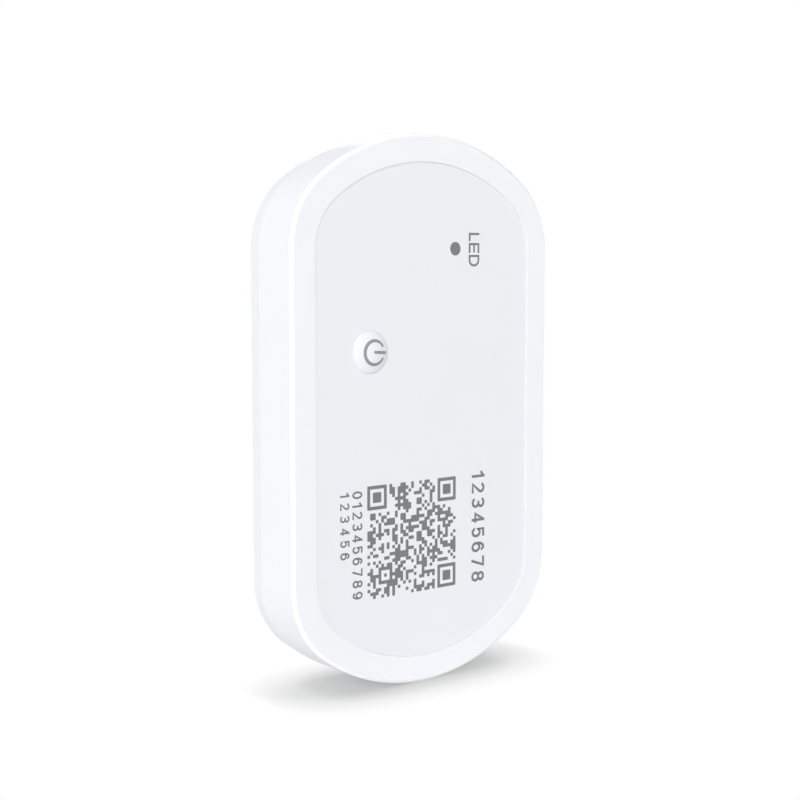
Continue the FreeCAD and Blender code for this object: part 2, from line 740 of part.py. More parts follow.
def make_power_key():
    body = new_body("power_key", KEY_X, KEY_Z)
    skirt_top = f"({LABEL_FRONT} + key_skirt)"
    flange = new_sketch(body, "key_flange_outline", level=FLANGE_REAR)
    draw_square(flange, FLANGE_HALF)
    plate = pad(body, flange, "key_flange")

    def is_corner(edge, middle):
        return edge.BoundBox.YLength > worth("key_flange") / 2

    dress(body, "Fillet", plate, edges_where(plate, is_corner), "key_flange_corner")

    stem = new_sketch(body, "key_stem", level=INNER_FACE)
    draw_circle(stem, "key_diameter")
    pad(body, stem, f"{skirt_top} - {INNER_FACE}")

    dome = new_sketch(body, "key_dome", PROFILE_VIEW)
    radius = worth("key_diameter") / 2
    rise = worth("key_rise")
    base = -worth(skirt_top)
    sphere = (radius**2 + rise**2) / (2 * rise)
    centre = FreeCAD.Vector(0, base - rise + sphere, 0)
    edge_angle = math.atan2(base - centre.y, radius)
    circle = Part.Circle(centre, FreeCAD.Vector(0, 0, 1), sphere)
    rim = FreeCAD.Vector(radius, base, 0)
    middle = FreeCAD.Vector(0, base, 0)
    apex = FreeCAD.Vector(0, base - rise, 0)
    arc = dome.addGeometry(Part.ArcOfCircle(circle, -math.pi / 2, edge_angle), False)
    across = dome.addGeometry(Part.LineSegment(rim, middle), False)
    along = dome.addGeometry(Part.LineSegment(middle, apex), False)
    constrain(dome, "Coincident", arc, Spot.END, across, Spot.START)
    constrain(dome, "Coincident", across, Spot.END, along, Spot.START)
    constrain(dome, "Coincident", along, Spot.END, arc, Spot.START)
    constrain(dome, "PointOnObject", arc, Spot.CENTRE, Axis.UP)
    pin(dome, across, Spot.START, "key_diameter / 2", f"-{skirt_top}")
    pin(dome, across, Spot.END, "0", f"-{skirt_top}")
    pin(dome, along, Spot.END, "0", f"-({skirt_top} + key_rise)")
    crown = turn(body, dome)

    def is_rim(edge, middle):
        return abs(-middle.y - worth(skirt_top)) < SAME_PLACE and edge.Length > radius

    dress(body, "Fillet", crown, edges_where(crown, is_rim), "key_edge_round")
    return body


# Light guide

def make_light_guide():
    body = new_body("light_guide", LAMP_X, LAMP_Z)
    profile = new_sketch(body, "light_guide_profile", PROFILE_VIEW)
    rod = "guide_rod / 2"
    flange = "(guide_rod / 2 + guide_flange_reach)"
    lamp_top = f"({BOARD_FRONT} + lamp_base + lamp_lens + lamp_air)"
    level_profile(
        profile,
        [
            ("0", lamp_top),
            (rod, lamp_top),
            (rod, f"{INNER_FACE} - guide_flange"),
            (flange, f"{INNER_FACE} - guide_flange"),
            (flange, INNER_FACE),
            (rod, INNER_FACE),
            (rod, LABEL_FRONT),
            ("0", LABEL_FRONT),
        ],
    )
    turn(body, profile)
    return body


# Circuit board with its screw holes and the slot round the sensor tongue

def make_main_board():
    body = new_body("main_board")
    board = new_sketch(body, "board_outline", level=BOARD_REAR)
    draw_outline(board, "side_wall + board_gap")
    for x, z in screw_places():
        draw_circle(board, "screw_diameter + 2 * board_hole_play", x, z)
    pad(body, board, "board_thickness")

    slot = new_sketch(body, "sensor_slot", level=BOARD_REAR)
    inner = "tongue_width / 2"
    outer = "(tongue_width / 2 + slot_width)"
    low = f"(side_wall + board_gap + tongue_root - {HALF_LENGTH})"
    high = f"({low} + tongue_height)"
    draw_polygon(
        slot,
        [
            (f"-{outer}", low),
            (f"-{inner}", low),
            (f"-{inner}", high),
            (inner, high),
            (inner, low),
            (outer, low),
            (outer, f"{high} + slot_width"),
            (f"-{outer}", f"{high} + slot_width"),
        ],
    )
    cut(body, slot, "board_thickness")
    return body


# Coin cell, laid on its can with the cap towards the board

def make_cell():
    can = "cell_diameter / 2"
    wall = f"({can} - cell_sheet)"
    rim = f"({CELL_REAR} + cell_height - cell_crimp)"
    cap_face = f"({CELL_REAR} + cell_height)"
    cap_edge = f"({can} - cell_shoulder)"
    seal_edge = f"({wall} - cell_seal)"
    inside = f"({CELL_REAR} + cell_sheet)"

    body = new_body("cell_can", z=CELL_Z)
    profile = new_sketch(body, "can_profile", PROFILE_VIEW)
    level_profile(
        profile,
        [
            ("0", CELL_REAR),
            (f"{can} - cell_sheet", CELL_REAR),
            (can, f"{CELL_REAR} + cell_sheet"),
            (can, rim),
            (wall, rim),
            (wall, inside),
            ("0", inside),
        ],
    )
    turn(body, profile)

    body = new_body("cell_seal", z=CELL_Z)
    profile = new_sketch(body, "seal_profile", PROFILE_VIEW)
    level_profile(
        profile,
        [
            (seal_edge, inside),
            (wall, inside),
            (wall, rim),
            (cap_edge, rim),
            (cap_edge, f"{rim} - cell_sheet"),
            (seal_edge, f"{rim} - cell_sheet"),
        ],
    )
    turn(body, profile)

    body = new_body("cell_cap", z=CELL_Z)
    profile = new_sketch(body, "cap_profile", PROFILE_VIEW)
    flat = f"({rim} - cell_sheet)"
    level_profile(
        profile,
        [
            ("0", f"{cap_face} - cell_sheet"),
            (f"{cap_edge} - cell_sheet", f"{cap_face} - cell_sheet"),
            (f"{cap_edge} - cell_sheet", f"{flat} - cell_sheet"),
            (seal_edge, f"{flat} - cell_sheet"),
            (seal_edge, flat),
            (cap_edge, flat),
            (cap_edge, f"{cap_face} - cell_sheet / 2"),
            (f"{cap_edge} - cell_sheet / 2", cap_face),
            ("0", cap_face),
        ],
    )
    turn(body, profile)

    body = new_body("cell_core", z=CELL_Z)
    profile = new_sketch(body, "core_profile", PROFILE_VIEW)
    level_profile(
        profile,
        [
            ("0", inside),
            (seal_edge, inside),
            (seal_edge, f"{flat} - cell_sheet"),
            (f"{cap_edge} - cell_sheet", f"{flat} - cell_sheet"),
            (f"{cap_edge} - cell_sheet", f"{cap_face} - cell_sheet"),
            ("0", f"{cap_face} - cell_sheet"),
        ],
    )
    turn(body, profile)


def make_cell_clip():
    """A strap of spring sheet under the cell, with legs up to two feet on the board."""
    body = new_body("cell_clip", z=CELL_Z)
    profile = new_sketch(body, "clip_profile", PROFILE_VIEW)
    leg = "(cell_diameter / 2 + clip_gap)"
    outer = f"({leg} + clip_sheet)"
    foot = f"({outer} + clip_foot)"
    foot_rear = f"({BOARD_REAR} - clip_sheet)"
    right = [
        (outer, CLIP_REAR),
        (outer, foot_rear),
        (foot, foot_rear),
        (foot, BOARD_REAR),
        (leg, BOARD_REAR),
        (leg, CELL_REAR),
    ]
    left = [(f"-{across}", level) for across, level in reversed(right)]
    level_profile(profile, right + left)
    pad(body, profile, "clip_width", middle=True)

    window = new_sketch(body, "clip_window_outline", level=CLIP_REAR)
    half = "clip_window_height / 2"
    end = "clip_window_length / 2"
    draw_rectangle(window, f"-{end}", f"-{half}", end, half)
    cut(body, window, "clip_sheet")
    return body


def make_cell_contact():
    body = new_body("cell_contact", z=CELL_Z)
    disc = new_sketch(body, "contact_disc", level=f"{BOARD_REAR} - contact_height")
    draw_circle(disc, "contact_diameter")
    pad(body, disc, "contact_height")
    return body


# Push switch

def make_switch():
    half = "switch_size / 2"
    frame_rear = f"({SWITCH_TOP} - switch_frame)"
    collar = "(switch_well - 2 * plunger_gap)"
    collar_front = f"({frame_rear} - plunger_play)"
    collar_rear = f"({collar_front} - plunger_collar)"
    dome_top = f"({collar_rear} - plunger_play)"
    well_floor = f"({dome_top} - dome_sheet - key_travel)"

    base = new_body("switch_base", KEY_X, KEY_Z)
    block = new_sketch(base, "switch_block", level=BOARD_FRONT)
    draw_square(block, f"({half})")
    pad(base, block, "switch_height - switch_frame")
    well = new_sketch(base, "switch_well_hole", level=well_floor)
    draw_circle(well, "switch_well")
    cut(base, well, f"{frame_rear} - {well_floor}")

    frame = new_body("switch_frame", KEY_X, KEY_Z)
    sheet_metal = new_sketch(frame, "switch_cover_sheet", level=frame_rear)
    draw_square(sheet_metal, f"({half})")
    draw_circle(sheet_metal, "plunger_diameter + 2 * plunger_gap")
    pad(frame, sheet_metal, "switch_frame")
    ears = new_sketch(frame, "switch_cover_ears", level=f"{frame_rear} - switch_frame_lap")
    ear_outer = "(switch_size / 2 + switch_frame)"
    draw_rectangle(ears, f"-{half}", half, half, ear_outer)
    draw_rectangle(ears, f"-{half}", f"-{ear_outer}", half, f"-{half}")
    pad(frame, ears, "switch_frame_lap + switch_frame")

    plunger = new_body("switch_plunger", KEY_X, KEY_Z)
    profile = new_sketch(plunger, "plunger_profile", PROFILE_VIEW)
    stem = "plunger_diameter / 2"
    level_profile(
        profile,
        [
            ("0", collar_rear),
            (f"{collar} / 2", collar_rear),
            (f"{collar} / 2", collar_front),
            (stem, collar_front),
            (stem, FLANGE_REAR),
            ("0", FLANGE_REAR),
        ],
    )
    turn(plunger, profile)

    dome = new_body("switch_dome", KEY_X, KEY_Z)
    profile = new_sketch(dome, "dome_profile", PROFILE_VIEW)
    edge = "dome_diameter / 2"
    shoulder = "plunger_diameter / 2"
    level_profile(
        profile,
        [
            ("0", f"{dome_top} - dome_sheet"),
            (shoulder, f"{dome_top} - dome_sheet"),
            (f"{edge} - dome_sheet", well_floor),
            (edge, well_floor),
            (edge, f"{well_floor} + dome_sheet"),
            (shoulder, dome_top),
            ("0", dome_top),
        ],
    )
    turn(dome, profile)


def make_switch_terminals():
    """Four flat tabs at the sides of the switch, soldered to the board."""
    tabs = []
    for side in (1, -1):
        for row in (1, -1):
            tab = document.addObject("Part::Box", "switch_tab")
            tab.setExpression("Length", bound("terminal_length"))
            tab.setExpression("Width", bound("terminal_sheet"))
            tab.setExpression("Height", bound("terminal_width"))
            edge = "switch_size / 2" if side > 0 else "-(switch_size / 2 + terminal_length)"
            place_box(
                tab,
                f"{KEY_X} + {edge}",
                f"{BOARD_FRONT} + terminal_sheet",
                f"{KEY_Z} + {row} * terminal_pitch / 2 - terminal_width / 2",
            )
            tabs.append(tab)
    return group("switch_terminals", tabs)


def place_box(box, x, front_level, z):
    """Put a box's left lower front corner at a place and a level."""
    box.setExpression("Placement.Base.x", bound(x))
    box.setExpression("Placement.Base.y", bound(f"-({front_level})"))
    box.setExpression("Placement.Base.z", bound(z))


def group(label, members):
    compound = document.addObject("Part::Compound", label)
    compound.Label = label
    compound.Links = members
    document.recompute()
    return compound


# Screws

def make_board_screws():
    screws = []
    for x, z in screw_places():
        shank = front_cylinder("screw_diameter", "board_thickness + screw_grip", x, BOARD_REAR, z)
        head_rear = f"({BOARD_REAR} - screw_head_height)"
        head = front_cylinder("screw_head_diameter", "screw_head_height", x, head_rear, z)
        screw = document.addObject("Part::Fuse", "screw_blank")
        screw.Base = head
        screw.Tool = shank
        for length, height in (
            ("screw_slot_length", "screw_slot_width"),
            ("screw_slot_width", "screw_slot_length"),
        ):
            arm = document.addObject("Part::Box", "screw_slot_arm")
            arm.setExpression("Length", bound(length))
            arm.setExpression("Width", bound("screw_slot_depth"))
            arm.setExpression("Height", bound(height))
            slot_front = f"{head_rear} + screw_slot_depth"
            place_box(arm, f"{x} - {length} / 2", slot_front, f"{z} - {height} / 2")
            slotted = document.addObject("Part::Cut", "screw")
            slotted.Base = screw
            slotted.Tool = arm
            screw = slotted
        screws.append(screw)
    return group("board_screws", screws)


def front_cylinder(diameter, length, x, level, z):
    """A cylinder that grows from a level towards the front."""
    cylinder = document.addObject("Part::Cylinder", "front_cylinder")
    up = FreeCAD.Vector(0, 0, 1)
    forward = FreeCAD.Vector(0, -1, 0)
    cylinder.Placement.Rotation = FreeCAD.Rotation(up, forward)
    cylinder.setExpression("Radius", bound(f"({diameter}) / 2"))
    cylinder.setExpression("Height", bound(length))
    cylinder.setExpression("Placement.Base.x", bound(x))
    cylinder.setExpression("Placement.Base.y", bound(f"-({level})"))
    cylinder.setExpression("Placement.Base.z", bound(z))
    return cylinder


# Chips and crystals

def chip_rectangle(sketch, chip, inset="0"):
    half_width = f"({chip}_width / 2 - {inset})"
    half_length = f"({chip}_length / 2 - {inset})"
    draw_rectangle(sketch, f"-{half_width}", f"-{half_length}", half_width, half_length)


def make_chip(chip, rear_level):
    """A moulded package with a chamfered top and a dimple at its first corner."""
    body = new_body(chip, across_place(chip), end_place(chip))
    outline = new_sketch(body, f"{chip}_outline", level=rear_level)
    chip_rectangle(outline, chip)
    block = pad(body, outline, f"{chip}_height")
    top = worth(f"{rear_level} + {chip}_height")

    def is_top(edge, middle):
        return edge.BoundBox.YLength < SAME_PLACE and abs(-middle.y - top) < SAME_PLACE

    dress(body, "Chamfer", block, edges_where(block, is_top), "chip_chamfer")
    dimple = new_sketch(body, f"{chip}_dimple", level=f"{rear_level} + {chip}_height - dimple_depth")
    draw_circle(
        dimple,
        "dimple_diameter",
        f"dimple_inset - {chip}_width / 2",
        f"{chip}_length / 2 - dimple_inset",
    )
    cut(body, dimple, "dimple_depth")
    return body


def add_leads(body, chip):
    """Bent leads along both long sides of a chip."""
    first = "-(lead_pitch * (lead_count - 1)) / 2"
    leads = new_sketch(body, f"{chip}_leads", PROFILE_VIEW, first)
    side = f"{chip}_width / 2"
    knee = f"({side} + lead_knee)"
    tip = f"({side} + lead_reach)"
    low = BOARD_FRONT
    high = f"({BOARD_FRONT} + lead_level)"
    right = [
        (f"({side} - lead_sheet)", f"{high} - lead_sheet"),
        (f"({knee} - lead_sheet)", f"{high} - lead_sheet"),
        (f"({knee} - lead_sheet)", low),
        (tip, low),
        (tip, f"{low} + lead_sheet"),
        (knee, f"{low} + lead_sheet"),
        (knee, high),
        (f"({side} - lead_sheet)", high),
    ]
    level_profile(leads, right)
    level_profile(leads, [(f"-{across}", level) for across, level in right])
    first_pair = pad(body, leads, "lead_width", middle=True)
    repeat(body, first_pair, leads, "N_Axis", "lead_pitch * (lead_count - 1)", "lead_count", 1)


def make_crystal(chip):
    """A ceramic tray with a welded metal lid."""
    body = new_body(chip, across_place(chip), end_place(chip))
    tray = new_sketch(body, f"{chip}_tray", level=BOARD_FRONT)
    chip_rectangle(tray, chip)
    pad(body, tray, f"{chip}_height - lid_height")
    lid = new_sketch(body, f"{chip}_lid", level=f"{BOARD_FRONT} + {chip}_height - lid_height")
    chip_rectangle(lid, chip, "lid_inset")
    pad(body, lid, "lid_height")
    return body


def make_chip_antenna():
    """A ceramic block; its end caps stand out a little, as printed silver does."""
    chip = "chip_antenna"
    body = new_body(chip, across_place(chip), end_place(chip))
    block = new_sketch(body, "antenna_block", level=BOARD_FRONT)
    chip_rectangle(block, chip, "dimple_depth")
    pad(body, block, f"{chip}_height - dimple_depth")
    ends = new_sketch(body, "antenna_ends", level=BOARD_FRONT)
    for side in ("", "-"):
        near = f"{side}({chip}_width / 2 - antenna_cap)"
        far = f"{side}({chip}_width / 2)"
        low, high = f"-{chip}_length / 2", f"{chip}_length / 2"
        draw_polygon(ends, [(near, low), (far, low), (far, high), (near, high)])
    pad(body, ends, f"{chip}_height")
    return body


def make_indicator_led():
    body = new_body("indicator_led", LAMP_X, LAMP_Z)
    base = new_sketch(body, "lamp_base_outline", level=BOARD_FRONT)
    draw_rectangle(
        base, "-lamp_length / 2", "-lamp_width / 2", "lamp_length / 2", "lamp_width / 2"
    )
    pad(body, base, "lamp_base")
    lens = new_sketch(body, "lamp_lens_outline", level=f"{BOARD_FRONT} + lamp_base")
    half = "(lamp_length / 2 - lamp_lens_inset)"
    draw_rectangle(lens, f"-{half}", "-lamp_width / 2", half, "lamp_width / 2")
    pad(body, lens, "lamp_lens")
    return body


# Small two-ended parts in rows

def make_passives():
    bodies = {"capacitor": [], "resistor": []}
    caps = []
    for row, (kind, side, end, way) in PASSIVE_ROWS.items():
        for number in range(whole(f"{row}_count")):
            middle_x = across_place(row)
            middle_z = end_place(row)
            if way == "across":
                middle_x += f" + {number} * (passive_length + passive_gap)"
            else:
                middle_z += f" + {number} * passive_pitch"
            height = f"{kind}_height"
            middle_length = "passive_length - 2 * passive_cap"
            block = passive_box(middle_length, height, middle_x, "0", middle_z)
            bodies[kind].append(block)
            for side in ("", "-"):
                offset = f"{side}(passive_length - passive_cap) / 2"
                caps.append(passive_box("passive_cap", height, middle_x, offset, middle_z))
    group("chip_capacitors", bodies["capacitor"])
    group("chip_resistors", bodies["resistor"])
    group("chip_terminals", caps)


def passive_box(length, height, middle_x, offset, middle_z):
    box = document.addObject("Part::Box", "passive")
    box.setExpression("Length", bound(length))
    box.setExpression("Width", bound(height))
    box.setExpression("Height", bound("passive_width"))
    left = f"{middle_x} + {offset} - ({length}) / 2"
    place_box(box, left, f"{BOARD_FRONT} + {height}", f"{middle_z} - passive_width / 2")
    return box


# Build every sub-part

make_front_cover()
make_rear_cover()
make_case_gasket()
make_front_label()
make_power_key()
make_light_guide()
make_main_board()
make_board_screws()
make_cell()
make_cell_clip()
make_cell_contact()
make_switch()
make_switch_terminals()
make_chip("radio_chip", BOARD_FRONT)
make_chip("temperature_sensor", BOARD_FRONT)
make_chip("reservoir_capacitor", f"({BOARD_REAR} - reservoir_capacitor_height)")
memory = make_chip("memory_chip", BOARD_FRONT)
add_leads(memory, "memory_chip")
make_crystal("radio_crystal")
make_crystal("clock_crystal")
make_chip_antenna()
make_indicator_led()
make_passives()

NODES = [
    "front_cover",
    "rear_cover",
    "case_gasket",
    "front_label",
    "power_key",
    "light_guide",
    "main_board",
    "board_screws",
    "switch_base",
    "switch_terminals",
    "switch_dome",
    "switch_plunger",
    "switch_frame",
    "cell_can",
    "cell_core",
    "cell_seal",
    "cell_cap",
    "cell_clip",
    "cell_contact",
    "radio_chip",
    "radio_crystal",
    "clock_crystal",
    "memory_chip",
    "temperature_sensor",
    "indicator_led",
    "chip_antenna",
    "reservoir_capacitor",
    "chip_capacitors",
    "chip_resistors",
    "chip_terminals",
]

# Check every object, then write one file for each sub-part

document.recompute()
for item in document.Objects:
    if "Invalid" in item.State or "Error" in item.State:
        raise RuntimeError(f"{item.Name} failed: {item.State}")

os.makedirs("parts", exist_ok=True)
total = 0.0
pieces = [document.getObjectsByLabel(name)[0] for name in NODES]
for piece in pieces:
    if piece.Shape.isNull() or not piece.Shape.isValid():
        raise RuntimeError(f"{piece.Label} has no valid shape")
for piece in pieces:
    piece.Shape.exportStep(f"parts/{piece.Label}.step")
    total += piece.Shape.Volume
    print(f"{piece.Label}: {len(piece.Shape.Solids)} solids, {piece.Shape.Volume:.3f} mm3")
print(f"{len(pieces)} nodes, {total:.1f} mm3, case front on level {worth(CASE_FRONT):.3f}")
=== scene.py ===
# %% [markdown]
# # A wireless temperature logger
#
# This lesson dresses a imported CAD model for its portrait. The logger is a flat white case, about
# as long as a thumb, with a sunken label, a domed push key and a small grey lamp window.
# The CAD model is the fixed frame: it says where every piece is and how it moves. The pieces that
# show are built again here as smooth meshes in the same places, and every piece gets a finish.
# In the frame, +Z runs up the case, +X to its right and -Y out of its front.

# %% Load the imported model
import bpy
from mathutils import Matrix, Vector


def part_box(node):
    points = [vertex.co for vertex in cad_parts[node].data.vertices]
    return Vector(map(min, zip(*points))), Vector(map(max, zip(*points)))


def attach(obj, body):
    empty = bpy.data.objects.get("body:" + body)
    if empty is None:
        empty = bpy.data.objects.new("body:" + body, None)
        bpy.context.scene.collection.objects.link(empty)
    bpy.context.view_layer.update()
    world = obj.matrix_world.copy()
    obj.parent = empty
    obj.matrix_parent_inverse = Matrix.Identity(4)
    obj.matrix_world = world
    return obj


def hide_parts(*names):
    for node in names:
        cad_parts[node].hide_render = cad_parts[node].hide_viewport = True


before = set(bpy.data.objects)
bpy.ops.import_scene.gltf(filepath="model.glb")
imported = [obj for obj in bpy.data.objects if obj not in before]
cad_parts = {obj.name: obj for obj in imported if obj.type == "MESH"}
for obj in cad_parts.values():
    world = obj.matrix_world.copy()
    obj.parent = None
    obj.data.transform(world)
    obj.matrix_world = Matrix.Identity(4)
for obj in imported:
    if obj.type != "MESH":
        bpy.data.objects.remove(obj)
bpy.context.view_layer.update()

# %% [markdown]
# Blender works in metres, but a case this small is easier to think of in millimetres. So every
# size in this script is in millimetres, every mesh is built in them, and a finished mesh is
# scaled once, when it is tied to the frame. That also keeps the cuts between meshes exact.
# A level is a distance in front of the flat rear face, so level 3 is the plane Y = -3.

# %% Read the places of the pieces from the frame
import math
import random

import bmesh
import bpy
from mathutils import Matrix, Vector
from mathutils.geometry import tessellate_polygon

MM = 0.001


def box_mm(node):
    low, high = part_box(node)
    return low / MM, high / MM


cover_low, cover_high = box_mm("front_cover")
half_width = cover_high.x
half_length = cover_high.z
seam_level = -cover_high.y
front_level = -cover_low.y
film_low, film_high = box_mm("front_label")
film_level = -film_low.y
floor_level = -film_high.y
print(f"case {2 * half_width:.2f} x {2 * half_length:.2f} mm, front on level {front_level:.2f}")
print(f"seam on {seam_level:.2f}, sunken floor on {floor_level:.2f}, film on {film_level:.2f}")

# %% [markdown]
# ## The outline of the case
#
# Seen from the front, the case has straight sides, shallow round ends and a tighter arc at each
# corner, and each arc runs into the next without a kink. It could be drawn as a Bezier curve, but
# a curve only comes near to such arcs. Here the points come from the arcs themselves, and an
# inset moves all of them inwards together. Every inset gives the same number of points, so any
# two outlines can be joined with a band of four-sided faces.

# %% Points of the outline for any inset
END_RADIUS = 24.8
CORNER_RADIUS = 10.6
SIDE_STEPS = 10
CORNER_STEPS = 18
END_STEPS = 44

corner_side = half_width - CORNER_RADIUS
end_height = half_length - END_RADIUS
corner_height = end_height + math.sqrt((END_RADIUS - CORNER_RADIUS) ** 2 - corner_side**2)
tilt = math.atan2(corner_height - end_height, corner_side)


def arc_points(centre_x, centre_z, radius, start, end, steps):
    """Points along an arc, without its last one."""
    angles = [start + (end - start) * step / steps for step in range(steps)]
    return [(centre_x + radius * math.cos(a), centre_z + radius * math.sin(a)) for a in angles]


def outline(inset):
    """Points across and up, once round the case, drawn in by an inset."""
    side = half_width - inset
    end = END_RADIUS - inset
    corner = CORNER_RADIUS - inset
    points = []
    for half_turn, sign in ((0, 1), (math.pi, -1)):
        climb = 2 * corner_height / SIDE_STEPS
        points += [(sign * side, sign * (climb * s - corner_height)) for s in range(SIDE_STEPS)]
        near = (sign * corner_side, sign * corner_height)
        far = (-sign * corner_side, sign * corner_height)
        turn_start = half_turn + tilt
        turn_end = half_turn + math.pi - tilt
        points += arc_points(*near, corner, half_turn, turn_start, CORNER_STEPS)
        points += arc_points(0, sign * end_height, end, turn_start, turn_end, END_STEPS)
        points += arc_points(*far, corner, turn_end, half_turn + math.pi, CORNER_STEPS)
    return points


print(f"{len(outline(0))} points round the case, corner arcs turn {math.degrees(tilt):.1f} degrees")

# %% [markdown]
# ## Soft corners
#
# A moulded edge is never a knife edge. Even a sharp one has a round of a few hundredths of a
# millimetre, and that round is what catches the light. A Bevel modifier could make it, but a
# profile rounded before it is swept gives full control. Beside each round lies a hold point, an
# extra ring close to it, so that the flat face next to the round is shaded truly flat.

# %% Round the corners of a profile
HOLD = 0.03
ROUND_STEPS = 4


def softened(profile):
    """Points of a profile of across, level and radius, with each corner rounded."""
    points = []
    for number, (across, level, radius) in enumerate(profile):
        corner = Vector((across, level))
        if radius == 0:
            points.append(corner)
            continue
        back = (Vector(profile[number - 1][:2]) - corner).normalized()
        ahead = (Vector(profile[number + 1][:2]) - corner).normalized()
        half_angle = back.angle(ahead) / 2
        reach = radius / math.tan(half_angle)
        centre = corner + (back + ahead).normalized() * radius / math.sin(half_angle)
        first = corner + back * reach - centre
        last = corner + ahead * reach - centre
        points.append(corner + back * (reach + HOLD))
        for step in range(ROUND_STEPS + 1):
            points.append(centre + radius * first.slerp(last, step / ROUND_STEPS))
        points.append(corner + ahead * (reach + HOLD))
    return points


print(f"a round has {ROUND_STEPS} steps and a hold point {HOLD} mm beside it")

# %% [markdown]
# ## From rings to a closed mesh
#
# All the moulded pieces are made the same way: rings of points at several levels, bands of faces
# between them, and flat caps. The caps of the front cover and of the film have two round holes,
# for the key and the lamp, so they are cut into triangles round the holes.

# %% Rings, bands and caps
CIRCLE_STEPS = 96


def circle(x, z, radius, steps=CIRCLE_STEPS):
    return arc_points(x, z, radius, 0, 2 * math.pi, steps)


def add_ring(bm, points, level):
    return [bm.verts.new((x, -level, z)) for x, z in points]


def add_bands(bm, rings):
    """Join each ring to the next with four-sided faces."""
    for first, second in zip(rings, rings[1:]):
        for here in range(len(first)):
            there = (here + 1) % len(first)
            bm.faces.new((first[here], first[there], second[there], second[here]))


def add_cap(bm, outer, holes=()):
    """Close a flat ring, and leave its holes open."""
    if not holes:
        bm.faces.new(outer)
        return
    loops = [outer, *holes]
    corners = [corner for loop in loops for corner in loop]
    flat = [[Vector((corner.co.x, corner.co.z, 0)) for corner in loop] for loop in loops]
    for triangle in tessellate_polygon(flat):
        bm.faces.new([corners[index] for index in triangle])


def add_solid(bm, rings):
    """Join rings with bands and close both ends."""
    add_bands(bm, rings)
    add_cap(bm, rings[0])
    add_cap(bm, rings[-1])


print(f"a turned piece has {CIRCLE_STEPS} points round it")

# %% Turn a mesh in progress into a smooth object
SHARP_FROM = math.radians(35)


def shade(piece):
    """Smooth shading that stops at real edges."""
    piece.data.shade_smooth()
    piece.data.set_sharp_from_angle(angle=SHARP_FROM)


def as_object(bm, name):
    bmesh.ops.recalc_face_normals(bm, faces=bm.faces)
    mesh = bpy.data.meshes.new(name)
    bm.to_mesh(mesh)
    bm.free()
    piece = bpy.data.objects.new(name, mesh)
    bpy.context.scene.collection.objects.link(piece)
    shade(piece)
    return piece


print(f"edges that turn by more than {math.degrees(SHARP_FROM):.0f} degrees stay sharp")

# %% [markdown]
# An exact Boolean modifier joins two closed meshes, or cuts one out of the other. Its result is
# read from the evaluated mesh, so no operator and no selection is needed. A finished mesh is
# scaled and tied to the body that carries it, and the CAD nodes it stands for are hidden. Its
# edges are counted too: in a closed mesh every edge has exactly two faces.

# %% Combine meshes and tie them to the frame
def combine(piece, other, operation):
    """Join another closed mesh to a piece, or cut it out, and drop the other."""
    step = piece.modifiers.new("combine", "BOOLEAN")
    step.operation = operation
    step.solver = "EXACT"
    step.object = other
    evaluated = piece.evaluated_get(bpy.context.evaluated_depsgraph_get())
    mesh = bpy.data.meshes.new_from_object(evaluated)
    piece.modifiers.clear()
    piece.data = mesh
    mesh.name = piece.name
    bpy.data.objects.remove(other)
    shade(piece)


def tie_to_frame(piece, body, slot, *nodes):
    """Scale a finished mesh to metres, let it ride on a body and hide the CAD nodes it stands for.
    """
    piece.data.transform(Matrix.Scale(MM, 4))
    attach(piece, body)
    if nodes:
        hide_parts(*nodes)
    mesh = piece.data
    sides = {}
    for face in mesh.polygons:
        for edge in face.edge_keys:
            sides[edge] = sides.get(edge, 0) + 1
    open_edges = sum(1 for count in sides.values() if count != 2)
    print(f"{piece.name}: {len(mesh.polygons)} faces, {open_edges} open edges")


print(f"a millimetre of a mesh becomes {MM} in the frame")

# %% [markdown]
# ## Front cover
#
# The front cover is one moulding: side walls, a chamfered front edge, a flat rim and the sunken
# floor that takes the label. Its profile is a list of corners, from the sunken floor out over the
# rim, down the side to the seam and back up the inside. The chamfer is narrow, but it shows as
# the bright line along the left edge, so it has a crisp round on each side.

# %% The moulded shell of the front cover
RIM_WIDTH = 3.25
CHAMFER = 0.37
SIDE_WALL = 1.4
FRONT_WALL = 1.5
INNER_ROUND = 0.5
CAP_MARGIN = 0.8
HOLE_MARGIN = 0.25
KEY_RADIUS = 2.5
KEY_HOLE_GAP = 0.04
ROD_RADIUS = 0.8
LAMP_HOLE_GAP = 0.03
FINE_ROUND = 0.05
RIM_ROUND = 0.015
RIM_FOOT_ROUND = 0.005
SEAM_ROUND = 0.02
EDGE_ROUND = 0.08

inner_level = front_level - FRONT_WALL
key_low, key_high = box_mm("power_key")
key_x = (key_low.x + key_high.x) / 2
key_z = (key_low.z + key_high.z) / 2
lamp_low, lamp_high = box_mm("light_guide")
lamp_x = (lamp_low.x + lamp_high.x) / 2
lamp_z = (lamp_low.z + lamp_high.z) / 2
key_hole = KEY_RADIUS + KEY_HOLE_GAP
lamp_hole = ROD_RADIUS + LAMP_HOLE_GAP


def hole(x, z, radii, levels, softness):
    """The place of a turned hole and the profile of its wall, from the front to the rear."""
    wall = [(radius, level, softness) for radius, level in zip(radii, levels)]
    lead_in, lead_out = [(radius + HOLE_MARGIN, level, 0) for radius, level in zip(radii, levels)]
    return x, z, [lead_in, *wall, lead_out]


def pierced_shell(name, profile, holes=()):
    """A body swept round the case outline, with flat caps and turned holes through both."""
    bm = bmesh.new()
    rings = [add_ring(bm, outline(across), level) for across, level in softened(profile)]
    add_bands(bm, rings)
    walls = []
    for x, z, hole_profile in holes:
        rows = softened(hole_profile)
        wall = [add_ring(bm, circle(x, z, radius), level) for radius, level in rows]
        add_bands(bm, wall)
        walls.append(wall)
    add_cap(bm, rings[0], [wall[0] for wall in walls])
    add_cap(bm, rings[-1], [wall[-1] for wall in walls])
    return as_object(bm, name)


